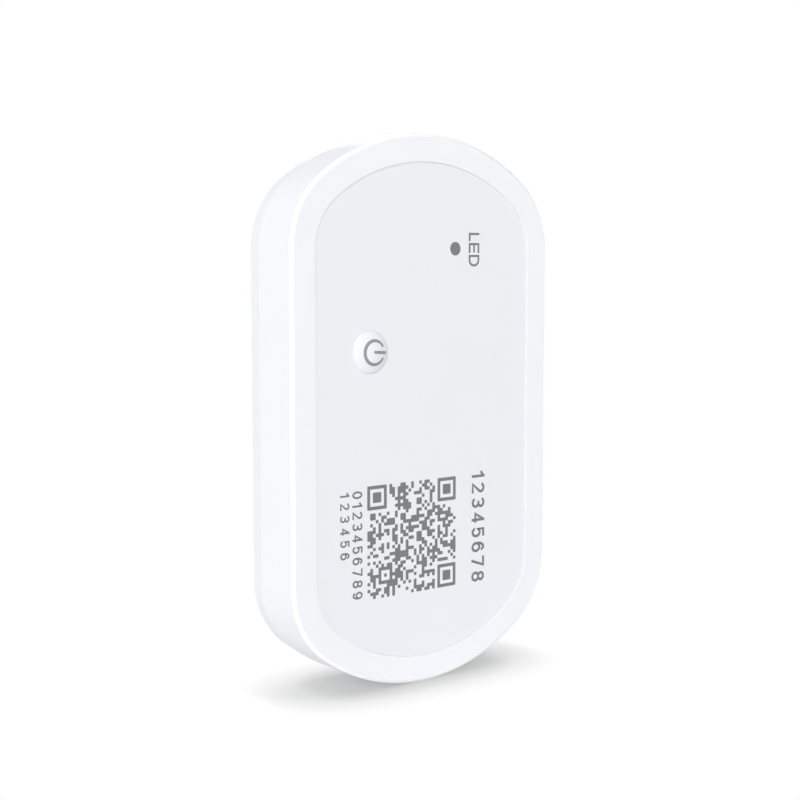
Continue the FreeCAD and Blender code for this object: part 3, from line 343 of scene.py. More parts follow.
front_cover = pierced_shell(
    "front_cover_shell",
    [
        (RIM_WIDTH + CAP_MARGIN, floor_level, 0),
        (RIM_WIDTH, floor_level, RIM_FOOT_ROUND),
        (RIM_WIDTH, front_level, RIM_ROUND),
        (CHAMFER, front_level, EDGE_ROUND),
        (0, front_level - CHAMFER, EDGE_ROUND),
        (0, seam_level, SEAM_ROUND),
        (SIDE_WALL, seam_level, FINE_ROUND),
        (SIDE_WALL, inner_level, INNER_ROUND),
        (SIDE_WALL + CAP_MARGIN, inner_level, 0),
    ],
    [
        hole(key_x, key_z, (key_hole, key_hole), (floor_level, inner_level), FINE_ROUND),
        hole(lamp_x, lamp_z, (lamp_hole, lamp_hole), (floor_level, inner_level), FINE_ROUND),
    ],
)
print(f"key at {key_x:.2f}, {key_z:.2f} and lamp at {lamp_x:.2f}, {lamp_z:.2f} mm")

# %% [markdown]
# Inside, the same moulding carries four screw bosses, the square frame that guides the key's
# flange, a collar round the light guide and three ribs that hold up the board behind the cell.
# They are closed solids of their own, sunk a little into the front wall, and one exact union
# makes them part of the moulding. Nobody sees them in the portrait, but the mesh is a result too.

# %% Bosses, key guide, lamp collar and ribs
SUNK = 0.2
BOSS_X = 12.0
BOSS_Z = 24.5
BOSS_RADIUS = 1.9
PILOT_RADIUS = 0.82
PILOT_DEPTH = 1.44
HEADROOM = 1.5
FLANGE_REACH = 0.9
GUIDE_GAP = 0.1
GUIDE_WALL = 0.8
GUIDE_HEIGHT = 0.5
GUIDE_CORNER = 0.4
COLLAR_INNER = 1.45
COLLAR_WALL = 0.6
COLLAR_HEIGHT = 0.4
CELL_Z = -13.0
RIB_PITCH = 5.5
RIB_LENGTH = 16.0
RIB_THICKNESS = 0.8
QUARTER_STEPS = 6

board_level = inner_level - HEADROOM
sunk_level = inner_level + SUNK
flange_half = KEY_RADIUS + FLANGE_REACH


def rounded_rectangle(x, z, half_x, half_z, corner):
    """Points once round a rectangle whose corners are quarter circles."""
    points = []
    for quarter, (sign_x, sign_z) in enumerate(((1, 1), (-1, 1), (-1, -1), (1, -1))):
        centre_x = x + sign_x * (half_x - corner)
        centre_z = z + sign_z * (half_z - corner)
        start = quarter * math.pi / 2
        end = start + math.pi / 2
        points += arc_points(centre_x, centre_z, corner, start, end, QUARTER_STEPS)
        points.append((centre_x + corner * math.cos(end), centre_z + corner * math.sin(end)))
    return points


def add_frame(bm, outer, inner, low, high):
    """An upright wall round an opening."""
    rows = ((outer, low), (outer, high), (inner, high), (inner, low))
    rings = [add_ring(bm, points, level) for points, level in rows]
    add_bands(bm, rings + rings[:1])


def add_block(bm, points, low, high):
    """A straight solid between two levels."""
    add_solid(bm, [add_ring(bm, points, low), add_ring(bm, points, high)])


def add_boss(bm, x, z):
    """A post with a blind pilot hole for a screw."""
    rows = (
        (PILOT_RADIUS, board_level + PILOT_DEPTH),
        (PILOT_RADIUS, board_level),
        (BOSS_RADIUS, board_level),
        (BOSS_RADIUS, sunk_level),
    )
    add_solid(bm, [add_ring(bm, circle(x, z, radius), level) for radius, level in rows])


inside = bmesh.new()
for sign_x in (1, -1):
    for sign_z in (1, -1):
        add_boss(inside, sign_x * BOSS_X, sign_z * BOSS_Z)
guide_inner = flange_half + GUIDE_GAP
guide_outer = guide_inner + GUIDE_WALL
add_frame(
    inside,
    rounded_rectangle(key_x, key_z, guide_outer, guide_outer, GUIDE_CORNER),
    rounded_rectangle(key_x, key_z, guide_inner, guide_inner, GUIDE_CORNER),
    inner_level - GUIDE_HEIGHT,
    sunk_level,
)
add_frame(
    inside,
    circle(lamp_x, lamp_z, COLLAR_INNER + COLLAR_WALL),
    circle(lamp_x, lamp_z, COLLAR_INNER),
    inner_level - COLLAR_HEIGHT,
    sunk_level,
)
for place in (-1, 0, 1):
    rib_z = CELL_Z + place * RIB_PITCH
    rib = rounded_rectangle(0, rib_z, RIB_LENGTH / 2, RIB_THICKNESS / 2, RIB_THICKNESS / 4)
    add_block(inside, rib, board_level, sunk_level)
combine(front_cover, as_object(inside, "inside_of_front_cover"), "UNION")
print(f"front cover with its inner features: {len(front_cover.data.polygons)} faces")

# %% [markdown]
# The two covers snap together. Three hooks along each side of the rear cover spring into shallow
# windows in the side walls, which are cut from the inside only, so nothing shows outside.

# %% Windows for the snap hooks
HOOK_PITCH = 11.0
HOOK_WIDTH = 4.0
HOOK_REACH = 0.35
HOOK_HEIGHT = 0.8
HOOK_LAND = 0.2
HOOK_LIFT = 0.5
HOOK_GAP = 0.1
LIP_GAP = 0.1
LIP_THICKNESS = 0.9

wall_face = half_width - SIDE_WALL
lip_face = wall_face - LIP_GAP
catch_level = seam_level + HOOK_LIFT
peak_level = catch_level + HOOK_HEIGHT
shallow = wall_face - LIP_THICKNESS
deep = lip_face + HOOK_REACH + HOOK_GAP
hook_places = [(side, place * HOOK_PITCH) for side in (1, -1) for place in (-1, 0, 1)]

cutters = bmesh.new()
for side, middle in hook_places:
    window = rounded_rectangle(
        side * (shallow + deep) / 2,
        middle,
        (deep - shallow) / 2,
        HOOK_WIDTH / 2 + HOOK_GAP,
        HOOK_GAP,
    )
    add_block(cutters, window, catch_level - HOOK_GAP, peak_level + HOOK_GAP)
combine(front_cover, as_object(cutters, "window_cutters"), "DIFFERENCE")
tie_to_frame(front_cover, "case", "case_white", "front_cover")

# %% [markdown]
# ## Rear cover
#
# From outside, the rear cover is only a narrow strip behind the seam. It draws in a little towards
# the back, so the light meets it at another angle and it looks a touch darker than the side
# wall: that is what shows where the two covers meet. The profile also holds the groove for
# the gasket, the lip that stands inside the front cover and the floor of the tray.

# %% The tray of the rear cover
REAR_WALL = 1.2
REAR_TAPER = 0.3
REAR_ROUND = 0.35
LIP_HEIGHT = 1.6
LIP_ROUND = 0.12
GROOVE_INSET = 0.35
GROOVE_WIDTH = 0.7
GROOVE_DEPTH = 0.5

lip_inset = SIDE_WALL + LIP_GAP
lip_inner_inset = lip_inset + LIP_THICKNESS
groove_inner = GROOVE_INSET + GROOVE_WIDTH
groove_level = seam_level - GROOVE_DEPTH
lip_level = seam_level + LIP_HEIGHT

rear_cover = pierced_shell(
    "rear_cover_tray",
    [
        (lip_inner_inset + CAP_MARGIN, REAR_WALL, 0),
        (lip_inner_inset, REAR_WALL, LIP_ROUND),
        (lip_inner_inset, lip_level, LIP_ROUND),
        (lip_inset, lip_level, LIP_ROUND),
        (lip_inset, seam_level, FINE_ROUND),
        (groove_inner, seam_level, FINE_ROUND),
        (groove_inner, groove_level, FINE_ROUND),
        (GROOVE_INSET, groove_level, FINE_ROUND),
        (GROOVE_INSET, seam_level, FINE_ROUND),
        (0, seam_level, SEAM_ROUND),
        (REAR_TAPER, 0, REAR_ROUND),
        (REAR_TAPER + CAP_MARGIN, 0, 0),
    ],
)
print(f"bare tray of the rear cover: {len(rear_cover.data.polygons)} faces")

# %% [markdown]
# Its extras are made like those of the front cover: two arcs of the ring that keeps the cell in
# place, with a gap on each side for the cell's spring clip, the six hooks, and the shallow
# notch in the bottom edge where a tool opens the case.

# %% Cell cradle, hooks and opening notch
CRADLE_INNER = 10.25
CRADLE_WALL = 0.9
CRADLE_HEIGHT = 1.8
CRADLE_SLOT = 3.5
CRADLE_STEPS = 48
NOTCH_WIDTH = 8.0
NOTCH_DEPTH = 0.25
NOTCH_HEIGHT = 0.6


def add_cradle_arc(bm, upwards):
    """One arc of the cell's ring, ended by straight sides."""
    low = REAR_WALL - SUNK
    high = REAR_WALL + CRADLE_HEIGHT
    outer = CRADLE_INNER + CRADLE_WALL
    rows = ((CRADLE_INNER, low), (outer, low), (outer, high), (CRADLE_INNER, high))
    sections = []
    for step in range(CRADLE_STEPS + 1):
        section = []
        for radius, level in rows:
            start = math.asin(CRADLE_SLOT / radius)
            angle = start + (math.pi - 2 * start) * step / CRADLE_STEPS
            x = radius * math.cos(angle)
            z = CELL_Z + upwards * radius * math.sin(angle)
            section.append(bm.verts.new((x, -level, z)))
        sections.append(section)
    add_solid(bm, sections)


def add_hook(bm, side, middle):
    """A wedge that slides in over its slope and catches with its flat side."""
    root = lip_face - LIP_THICKNESS / 2
    tip = lip_face + HOOK_REACH
    rows = ((root, catch_level), (tip, catch_level),
            (tip, catch_level + HOOK_LAND), (root, peak_level))
    sections = []
    for z in (middle - HOOK_WIDTH / 2, middle + HOOK_WIDTH / 2):
        sections.append([bm.verts.new((side * across, -level, z)) for across, level in rows])
    add_solid(bm, sections)


extras = bmesh.new()
for upwards in (1, -1):
    add_cradle_arc(extras, upwards)
for side, middle in hook_places:
    add_hook(extras, side, middle)
combine(rear_cover, as_object(extras, "extras_of_rear_cover"), "UNION")
notch = bmesh.new()
notch_outline = rounded_rectangle(0, -half_length, NOTCH_WIDTH / 2, NOTCH_DEPTH, FINE_ROUND)
add_block(notch, notch_outline, seam_level - NOTCH_HEIGHT, seam_level + SUNK)
combine(rear_cover, as_object(notch, "notch_cutter"), "DIFFERENCE")
tie_to_frame(rear_cover, "case", "case_white", "rear_cover")

# %% [markdown]
# ## Label film
#
# The label is a printed film, 0.15 mm thick, that lies in the sunken floor with a hair's breadth
# of air round it. That gap and the step up to the rim draw the thin line round the label. The
# film fits close round the key and the lamp window, so no dark ring shows there. The key narrows
# towards its dome, so the film's hole is a little smaller in front than behind.

# %% The film with its two close holes
LABEL_GAP = 0.012
CLOSE_FIT = 0.01
KEY_WAIST = 2.47
FILM_ROUND = 0.008
FINE_FILM_ROUND = 0.006

film_inset = RIM_WIDTH + LABEL_GAP
film_levels = (film_level, floor_level)
key_radii = (KEY_WAIST + CLOSE_FIT, KEY_RADIUS + CLOSE_FIT)
lamp_radii = (ROD_RADIUS + CLOSE_FIT, ROD_RADIUS + CLOSE_FIT)

film = pierced_shell(
    "label_film_sheet",
    [
        (film_inset + CAP_MARGIN, film_level, 0),
        (film_inset, film_level, FILM_ROUND),
        (film_inset, floor_level, FILM_ROUND),
        (film_inset + CAP_MARGIN, floor_level, 0),
    ],
    [
        hole(key_x, key_z, key_radii, film_levels, FINE_FILM_ROUND),
        hole(lamp_x, lamp_z, lamp_radii, film_levels, FINE_FILM_ROUND),
    ],
)
tie_to_frame(film, "case", "label_film", "front_label")

# %% [markdown]
# ## Power key
#
# The key is a small moulding with a square flange inside the case, which stops it, a round stem
# through the front wall and a domed top. The dome is part of a sphere, so its points come from
# the circle through the rim and the apex, and a small round leads from the straight side into it.
# The apex leaves room for the ink on it, so the sign isn't higher than the key of the CAD.
# The flange's rings are square and the stem's are round. Both are read at the same angles, so
# one band of faces can join a square ring to a round one.

# %% Dome of the key as a formula
KEY_RISE = 0.75
KEY_EDGE_ROUND = 0.6
INK_RISE = 0.01
KEY_ROUND_STEPS = 6
DOME_STEPS = 16

apex_level = -key_low.y - INK_RISE
sphere_radius = (KEY_RADIUS**2 + KEY_RISE**2) / (2 * KEY_RISE)
sphere_level = apex_level - sphere_radius
round_across = KEY_RADIUS - KEY_EDGE_ROUND
round_rise = math.sqrt((sphere_radius - KEY_EDGE_ROUND) ** 2 - round_across**2)
round_level = sphere_level + round_rise
dome_edge_angle = math.atan2(round_across, round_rise)


def dome_level(x, z):
    """How far in front of the rear face the dome lies, at a distance from the key's middle."""
    return sphere_level + math.sqrt(sphere_radius**2 - x * x - z * z)


def key_top_profile():
    """Radius and level from the top of the straight side to the rim of the last ring."""
    points = []
    for step in range(KEY_ROUND_STEPS):
        angle = math.pi / 2 - (math.pi / 2 - dome_edge_angle) * step / KEY_ROUND_STEPS
        across = round_across + KEY_EDGE_ROUND * math.sin(angle)
        points.append((across, round_level + KEY_EDGE_ROUND * math.cos(angle)))
    for step in range(DOME_STEPS):
        angle = dome_edge_angle * (1 - step / DOME_STEPS)
        across = sphere_radius * math.sin(angle)
        points.append((across, sphere_level + sphere_radius * math.cos(angle)))
    return points


print(f"dome radius {sphere_radius:.2f} mm, apex on level {apex_level:.2f}")

# %% Square flange, round stem and dome in one mesh
KEY_STEPS = 144
KEY_FLANGE = 0.4
FLANGE_CORNER = 0.8


def square_at_angles(half, corner):
    """A rounded square whose points lie at the same angles as those of a circle."""
    points = []
    for step in range(KEY_STEPS):
        angle = 2 * math.pi * step / KEY_STEPS
        across, up = math.cos(angle), math.sin(angle)
        distance = half / max(abs(across), abs(up))
        straight = half - corner
        if min(abs(across), abs(up)) * distance > straight:
            along = straight * (abs(across) + abs(up))
            distance = along + math.sqrt(along**2 - 2 * straight**2 + corner**2)
        points.append((key_x + distance * across, key_z + distance * up))
    return points


flange_level = inner_level - KEY_FLANGE
key = bmesh.new()
key_rings = []
flange_profile = [
    (flange_half - HOLE_MARGIN, flange_level, 0),
    (flange_half, flange_level, FINE_ROUND),
    (flange_half, inner_level, FINE_ROUND),
    (flange_half - HOLE_MARGIN, inner_level, 0),
]
for half, level in softened(flange_profile):
    corner = FLANGE_CORNER - (flange_half - half)
    key_rings.append(add_ring(key, square_at_angles(half, corner), level))
stem_profile = [
    (KEY_RADIUS + HOLE_MARGIN, inner_level, 0),
    (KEY_RADIUS, inner_level, FINE_ROUND),
    (KEY_RADIUS, round_level, 0),
]
for radius, level in softened(stem_profile)[:-1] + key_top_profile():
    key_rings.append(add_ring(key, circle(key_x, key_z, radius, KEY_STEPS), level))
add_bands(key, key_rings)
add_cap(key, key_rings[0])
apex = key.verts.new((key_x, -apex_level, key_z))
for here in range(KEY_STEPS):
    there = (here + 1) % KEY_STEPS
    key.faces.new((key_rings[-1][here], key_rings[-1][there], apex))
power_key = as_object(key, "power_key_cap")
tie_to_frame(power_key, "key", "key_white", "power_key")

# %% [markdown]
# ## Lamp window
#
# A short rod of smoked resin carries the light of the indicator lamp to the front. A flange
# behind the wall keeps it in, and its face lies flush with the film, so from outside it is a
# plain grey dot. It is a turned shape: one profile, swept round the rod's axis.

# %% Light guide
ROD_FLANGE_RADIUS = 1.4
ROD_FLANGE = 0.4

rod_rear = -lamp_high.y
lamp_rows = softened([
    (ROD_RADIUS / 2, rod_rear, 0),
    (ROD_RADIUS, rod_rear, FINE_ROUND),
    (ROD_RADIUS, inner_level - ROD_FLANGE, 0),
    (ROD_FLANGE_RADIUS, inner_level - ROD_FLANGE, FINE_ROUND),
    (ROD_FLANGE_RADIUS, inner_level, FINE_ROUND),
    (ROD_RADIUS, inner_level, 0),
    (ROD_RADIUS, film_level, FILM_ROUND),
    (ROD_RADIUS / 2, film_level, 0),
])
rod = bmesh.new()
rod_rings = [add_ring(rod, circle(lamp_x, lamp_z, radius), level) for radius, level in lamp_rows]
add_solid(rod, rod_rings)
lamp_window = as_object(rod, "lamp_window_rod")
tie_to_frame(lamp_window, "case", "smoked_lens", "light_guide")

# %% [markdown]
# ## Print on the film
#
# The print is grey ink on the film. An image texture could hold it, but real geometry stays
# sharp at any distance and needs no file, so each mark is a solid a hundredth of a millimetre
# proud of the film. All lines read from the top of the case down, with their tops to the right.
# Beside the lamp stand the three letters that say what it is. The other lines are plain
# numbers in counting order.
#
# Each character is drawn as a pen would draw it. Its strokes are lines of points in a box one
# unit high, made of straight runs and parts of ellipses, and all are as wide as the pen.

# %% Characters as pen strokes
PEN = 0.16
DIGIT_WIDTH = 0.62
WAIST = 0.53
BOWL_TOP = 0.62
UPPER_BOWL = 0.9
BOW_STEP = 12.0
WHOLE_BOW = 360.0 - BOW_STEP


def bow(middle, top, bottom, half, start, end):
    """Points along a part of an ellipse between two heights, with angles in degrees."""
    steps = max(2, round(abs(end - start) / BOW_STEP))
    points = []
    for step in range(steps + 1):
        angle = math.radians(start + (end - start) * step / steps)
        up = (top + bottom) / 2 + (top - bottom) / 2 * math.sin(angle)
        points.append((middle + half * math.cos(angle), up))
    return points


def pen_strokes(sign):
    """The width of a character and its strokes: points across and up, and whether they close."""
    width = {"1": 0.4, "L": 0.6, "E": 0.72, "D": 0.84}.get(sign, DIGIT_WIDTH)
    low, high, near, far = PEN / 2, 1 - PEN / 2, PEN / 2, width - PEN / 2
    middle, half = width / 2, (width - PEN) / 2
    hook = bow(middle, high, low, half, 35, 180) + [(near, BOWL_TOP / 2)]
    strokes = {
        "0": [(bow(middle, high, low, half, 0, WHOLE_BOW), True)],
        "1": [([(0.28, 0), (0.28, 1)], False), ([(0.28, 0.9), (0, 0.7)], False)],
        "2": [(bow(middle, high, 0.5, half, 165, -35) + [(near, low), (width, low)], False)],
        "3": [
            (bow(middle, high, WAIST, half, 160, -90) + [(middle - 0.1, WAIST)], False),
            ([(middle - 0.1, WAIST)] + bow(middle, WAIST, low, half, 90, -160), False),
        ],
        "4": [
            ([(0.45, 0), (0.45, 1)], False),
            ([(0.45, high), (near, 0.29), (width, 0.29)], False),
        ],
        "5": [([(0.58, high), (0.13, high)] + bow(middle, 0.64, low, half, 155, -160), False)],
        "6": [(bow(middle, BOWL_TOP, low, half, 0, WHOLE_BOW), True), (hook, False)],
        "7": [([(0, high), (far, high), (0.22, 0)], False)],
        "8": [
            (bow(middle, high, WAIST, half * UPPER_BOWL, 0, WHOLE_BOW), True),
            (bow(middle, WAIST, low, half, 0, WHOLE_BOW), True),
        ],
        "L": [([(near, 1), (near, low), (width, low)], False)],
        "E": [
            ([(width, high), (near, high), (near, low), (width, low)], False),
            ([(near, 0.5), (width - 0.04, 0.5)], False),
        ],
        "D": [([(near, low), (near, high)] + bow(0.42, high, low, far - 0.42, 90, -90), True)],
    }
    if sign == "9":
        return width, [
            ([(width - x, 1 - y) for x, y in line], closed) for line, closed in strokes["6"]
        ]
    return width, strokes[sign]


print(f"a pen {PEN:.2f} of the height wide draws the digits")

# %% [markdown]
# A stroke becomes a thin solid with four-sided sections, one at each of its points. At a corner
# the section lies along the mitre, which is cut short where the corner is sharp. Where a
# character has two strokes, an exact union makes one clean solid of them.

# %% Lines of print as thin solids
INK_SUNK = 0.01
MITRE_LIMIT = 1.5
LEAST_COSINE = 0.1
INK_SLOT = "print_ink"


def pen_sections(points, closed):
    """Both edges of a stroke at each of its points."""
    places = [Vector(point) for point in points]
    sections = []
    for number, here in enumerate(places):
        ways = []
        if closed or number > 0:
            ways.append((here - places[number - 1]).normalized())
        if closed or number < len(places) - 1:
            ways.append((places[(number + 1) % len(places)] - here).normalized())
        sides = [Vector((-way.y, way.x)) for way in ways]
        mitre = (sides[0] + sides[-1]).normalized()
        stretch = min(1 / max(mitre.dot(sides[0]), LEAST_COSINE), MITRE_LIMIT)
        reach = mitre * PEN / 2 * stretch
        sections.append((here + reach, here - reach))
    return sections


def stroke_solid(name, points, closed, top, baseline, height):
    """A stroke as a thin solid on the film, placed and scaled like its line."""
    front = -film_level - INK_RISE
    rear = -film_level + INK_SUNK
    bm = bmesh.new()
    rings = []
    for left, right in pen_sections(points, closed):
        ring = []
        for edge, y in ((left, front), (right, front), (right, rear), (left, rear)):
            ring.append(bm.verts.new((baseline + edge.y * height, y, top - edge.x * height)))
        rings.append(ring)
    if closed:
        add_bands(bm, rings + rings[:1])
    else:
        add_solid(bm, rings)
    return as_object(bm, name)


def printed_line(name, words, top, length, baseline, height):
    """Print a line down the film, its characters spread evenly from end to end."""
    widths = [pen_strokes(sign)[0] * height for sign in words]
    gap = (length - sum(widths)) / (len(words) - 1)
    line = bmesh.new()
    for sign, width in zip(words, widths):
        first, *others = pen_strokes(sign)[1]
        character = stroke_solid(f"{name}_{sign}", *first, top, baseline, height)
        for other in others:
            combine(character, stroke_solid(f"{name}_part", *other, top, baseline, height), "UNION")
        line.from_mesh(character.data)
        bpy.data.objects.remove(character)
        top -= width + gap
    piece = as_object(line, name)
    tie_to_frame(piece, "case", INK_SLOT)
    return piece


# A row holds a line's name, its words, where it starts, its length, its baseline and its height.
PRINTED_LINES = [
    ("lamp_letters", "LED", 21.11, 4.02, 6.49, 1.66),
    ("number_line_large", "12345678", -7.84, 13.66, 7.14, 2.05),
    ("number_line_small_a", "0123456789", -8.52, 12.6, -10.9, 1.43),
    ("number_line_small_b", "123456", -8.57, 7.72, -12.63, 1.32),
]
ink_pieces = [printed_line(*line) for line in PRINTED_LINES]

# %% [markdown]
# ## Block pattern
#
# Beside the numbers lies a square of small blocks. It is a pattern of its own: framed squares,
# three large and one small, stand near its corners, and a seeded random choice fills the rest, so
# it says nothing. Neighbouring blocks are welded into one solid. A corner that has no neighbour
# on either side is rounded as wet ink is, so blocks that only touch at a corner stay apart.

# %% Choose the blocks
PATTERN_SEED = 41
PATTERN_CELLS = 33
MARK_CELLS = 7
SMALL_MARK_CELLS = 5
SMALL_MARK_PLACE = (4, 24)
FILL_SHARE = 0.5


def in_mark(column, row, size):
    """Whether a cell of a corner mark is dark: its frame and its middle."""
    ring = min(column, row, size - 1 - column, size - 1 - row)
    return ring == 0 or ring >= 2


def chosen_blocks():
    """The dark cells of the pattern. A clear ring of cells surrounds each large mark."""
    chance = random.Random(PATTERN_SEED)
    last = PATTERN_CELLS - MARK_CELLS
    marks = ((0, 0), (last, 0), (last, last))
    small_column, small_row = SMALL_MARK_PLACE
    blocks = set()
    for column in range(PATTERN_CELLS):
        for row in range(PATTERN_CELLS):
            dark = chance.random() < FILL_SHARE
            for mark_column, mark_row in marks:
                across, down = column - mark_column, row - mark_row
                if -1 <= across <= MARK_CELLS and -1 <= down <= MARK_CELLS:
                    inside_mark = 0 <= across < MARK_CELLS and 0 <= down < MARK_CELLS
                    dark = inside_mark and in_mark(across, down, MARK_CELLS)
            across, down = column - small_column, row - small_row
            if 0 <= across < SMALL_MARK_CELLS and 0 <= down < SMALL_MARK_CELLS:
                dark = in_mark(across, down, SMALL_MARK_CELLS)
            if dark:
                blocks.add((column, row))
    return blocks


blocks = chosen_blocks()
print(f"{len(blocks)} of {PATTERN_CELLS**2} blocks are dark")

# %% Weld the blocks into thin solids
PATTERN_X = -2.1
PATTERN_Z = -14.77
PATTERN_SIDE = 13.33
PLACE_DIGITS = 6
CORNER_SHARE = 0.3
CORNER_PARTS = 3

pattern = bmesh.new()
pattern_points = {}


def pattern_point(column, row, level):
    """A point of the pattern, shared by the blocks that have it in common."""
    place = (round(column, PLACE_DIGITS), round(row, PLACE_DIGITS), level)
    if place not in pattern_points:
        pitch = PATTERN_SIDE / PATTERN_CELLS
        x = PATTERN_X - PATTERN_SIDE / 2 + column * pitch
        z = PATTERN_Z + PATTERN_SIDE / 2 - row * pitch
        pattern_points[place] = pattern.verts.new((x, -level, z))
    return pattern_points[place]


def block_outline(column, row):
    """Points once round a block, each with whether a wall leads on from it."""
    sides = [(0, -1), (1, 0), (0, 1), (-1, 0)]
    corners = [(0, 0), (1, 0), (1, 1), (0, 1)]
    outline_points = []
    for number, (across, down) in enumerate(corners):
        open_before, open_after = [
            (column + sides[side][0], row + sides[side][1]) not in blocks
            for side in (number - 1, number)
        ]
        if not (open_before and open_after):
            outline_points.append((column + across, row + down, open_after))
            continue
        inward = Vector((1 - 2 * across, 1 - 2 * down)) * CORNER_SHARE
        middle = Vector((column + across, row + down)) + inward
        start = math.pi + number * math.pi / 2
        for part in range(CORNER_PARTS + 1):
            angle = start + math.pi / 2 * part / CORNER_PARTS
            spot = middle + CORNER_SHARE * Vector((math.cos(angle), math.sin(angle)))
            outline_points.append((spot.x, spot.y, True))
    return outline_points


ink_front = film_level + INK_RISE
ink_rear = film_level - INK_SUNK
for column, row in sorted(blocks):
    places = block_outline(column, row)
    front = [pattern_point(across, down, ink_front) for across, down, wall in places]
    rear = [pattern_point(across, down, ink_rear) for across, down, wall in places]
    pattern.faces.new(front)
    pattern.faces.new(rear)
    for here, (across, down, wall) in enumerate(places):
        there = (here + 1) % len(places)
        if wall:
            pattern.faces.new((front[here], front[there], rear[there], rear[here]))
block_pattern = as_object(pattern, "block_pattern")
tie_to_frame(block_pattern, "case", INK_SLOT)
ink_pieces.append(block_pattern)

# %% [markdown]
# ## Power sign on the key
#
# The sign is a broken ring with a bar, the usual mark of a power key. It lies on a dome, so
# a flat piece would sink in at one end and float at the other. Each of its points takes its
# level from the formula of the dome instead, and the sign follows the curve everywhere.

# %% Broken ring and bar that follow the dome
SIGN_X = 0.08
SIGN_RADIUS = 1.37
SIGN_STROKE = 0.36
SIGN_END_STROKE = 0.29
SIGN_GAP = math.radians(27)
SIGN_STEPS = 72
BAR_START = -0.14
BAR_END = 1.8
BAR_WIDTH = 0.34
BAR_SLOPE = -0.07
BAR_STEPS = 12
BAR_BLUNTNESS = 0.6
ACROSS_STEPS = 3

stroke_shares = [step / ACROSS_STEPS - 0.5 for step in range(ACROSS_STEPS + 1)]


def add_dome_strip(bm, rows):
    """A thin solid on the dome. Each row holds points across and up from the key's middle."""
    sections = []
    for row in rows:
        top = [(x, z, dome_level(x, z) + INK_RISE) for x, z in row]
        bottom = [(x, z, dome_level(x, z) - INK_SUNK) for x, z in reversed(row)]
        section = [bm.verts.new((key_x + x, -level, key_z + z)) for x, z, level in top + bottom]
        sections.append(section)
    add_solid(bm, sections)


sign = bmesh.new()
ring_rows = []
for step in range(SIGN_STEPS + 1):
    angle = SIGN_GAP + (2 * math.pi - 2 * SIGN_GAP) * step / SIGN_STEPS
    stroke = SIGN_STROKE + (SIGN_END_STROKE - SIGN_STROKE) * max(0, math.cos(angle))
    radii = [SIGN_RADIUS + share * stroke for share in stroke_shares]
    row = [(SIGN_X + radius * math.cos(angle), radius * math.sin(angle)) for radius in radii]
    ring_rows.append(row)
add_dome_strip(sign, ring_rows)
bar_rows = []
for step in range(BAR_STEPS + 1):
    along = BAR_START + (BAR_END - BAR_START) * step / BAR_STEPS
    rise = BAR_SLOPE * (along - (BAR_START + BAR_END) / 2)
    width = BAR_WIDTH * (BAR_BLUNTNESS if step == 0 else 1.0)
    bar_rows.append([(along, rise + share * width) for share in stroke_shares])
add_dome_strip(sign, bar_rows)
power_sign = as_object(sign, "power_sign")
tie_to_frame(power_sign, "key", INK_SLOT)

# %% [markdown]
# ## Finishes
#
# Three effects come back in many of the materials, so each is a node group, built once: the fine
# grain of a moulded or coated face, the marks that rolling leaves on sheet metal, and the faint
# polish that handling leaves along edges. A group puts out only masks and heights. The shader
# stays in the material, with every constant on its own socket.

# %% A short way to add nodes
def add_node(tree, kind, settings=None, inputs=None):
    """Add a shader node. An input is a plain value, or a socket to link from."""
    item = tree.nodes.new("ShaderNode" + kind)
    for name, value in (settings or {}).items():
        setattr(item, name, value)
    for name, value in (inputs or {}).items():
        if isinstance(value, bpy.types.NodeSocket):
            tree.links.new(value, item.inputs[name])
        else:
            item.inputs[name].default_value = value
    return item


def new_group(name, inputs, outputs):
    """An empty node group with named number inputs and outputs."""
    tree = bpy.data.node_groups.new(name, "ShaderNodeTree")
    for label, value in inputs.items():
        socket = tree.interface.new_socket(label, in_out="INPUT", socket_type="NodeSocketFloat")
        socket.default_value = value
    for label in outputs:
        tree.interface.new_socket(label, in_out="OUTPUT", socket_type="NodeSocketFloat")
    print(f"{name} takes {', '.join(inputs)} and puts out {', '.join(outputs)}")
    return tree, tree.nodes.new("NodeGroupInput"), tree.nodes.new("NodeGroupOutput")


# %% [markdown]
# A moulded face copies the eroded steel of its tool. Close up that is a fine even grain, and
# from further off a very faint cloudiness. Two noise textures at different scales give both.

# %% Grain of a moulded face
def make_grain_group():
    inputs = {"Fineness": 6000.0, "Cloudiness": 120.0}
    tree, start, end = new_group("moulded_grain", inputs, ("Height", "Cloud"))
    place = add_node(tree, "TexCoord").outputs["Object"]
    fine = add_node(tree, "TexNoise", inputs={
        "Vector": place, "Scale": start.outputs["Fineness"], "Detail": 3.0, "Roughness": 0.6})
    cloud = add_node(tree, "TexNoise", inputs={
        "Vector": place, "Scale": start.outputs["Cloudiness"], "Detail": 2.0})
    spread = add_node(tree, "MapRange", inputs={
        "Value": cloud.outputs["Fac"], "From Min": 0.3, "From Max": 0.7})
    tree.links.new(fine.outputs["Fac"], end.inputs["Height"])
    tree.links.new(spread.outputs["Result"], end.inputs["Cloud"])
    return tree


grain_group = make_grain_group()

# %% [markdown]
# Rolled and drawn sheet has long fine lines in one direction. The same noise, squeezed along one
# axis, draws them.

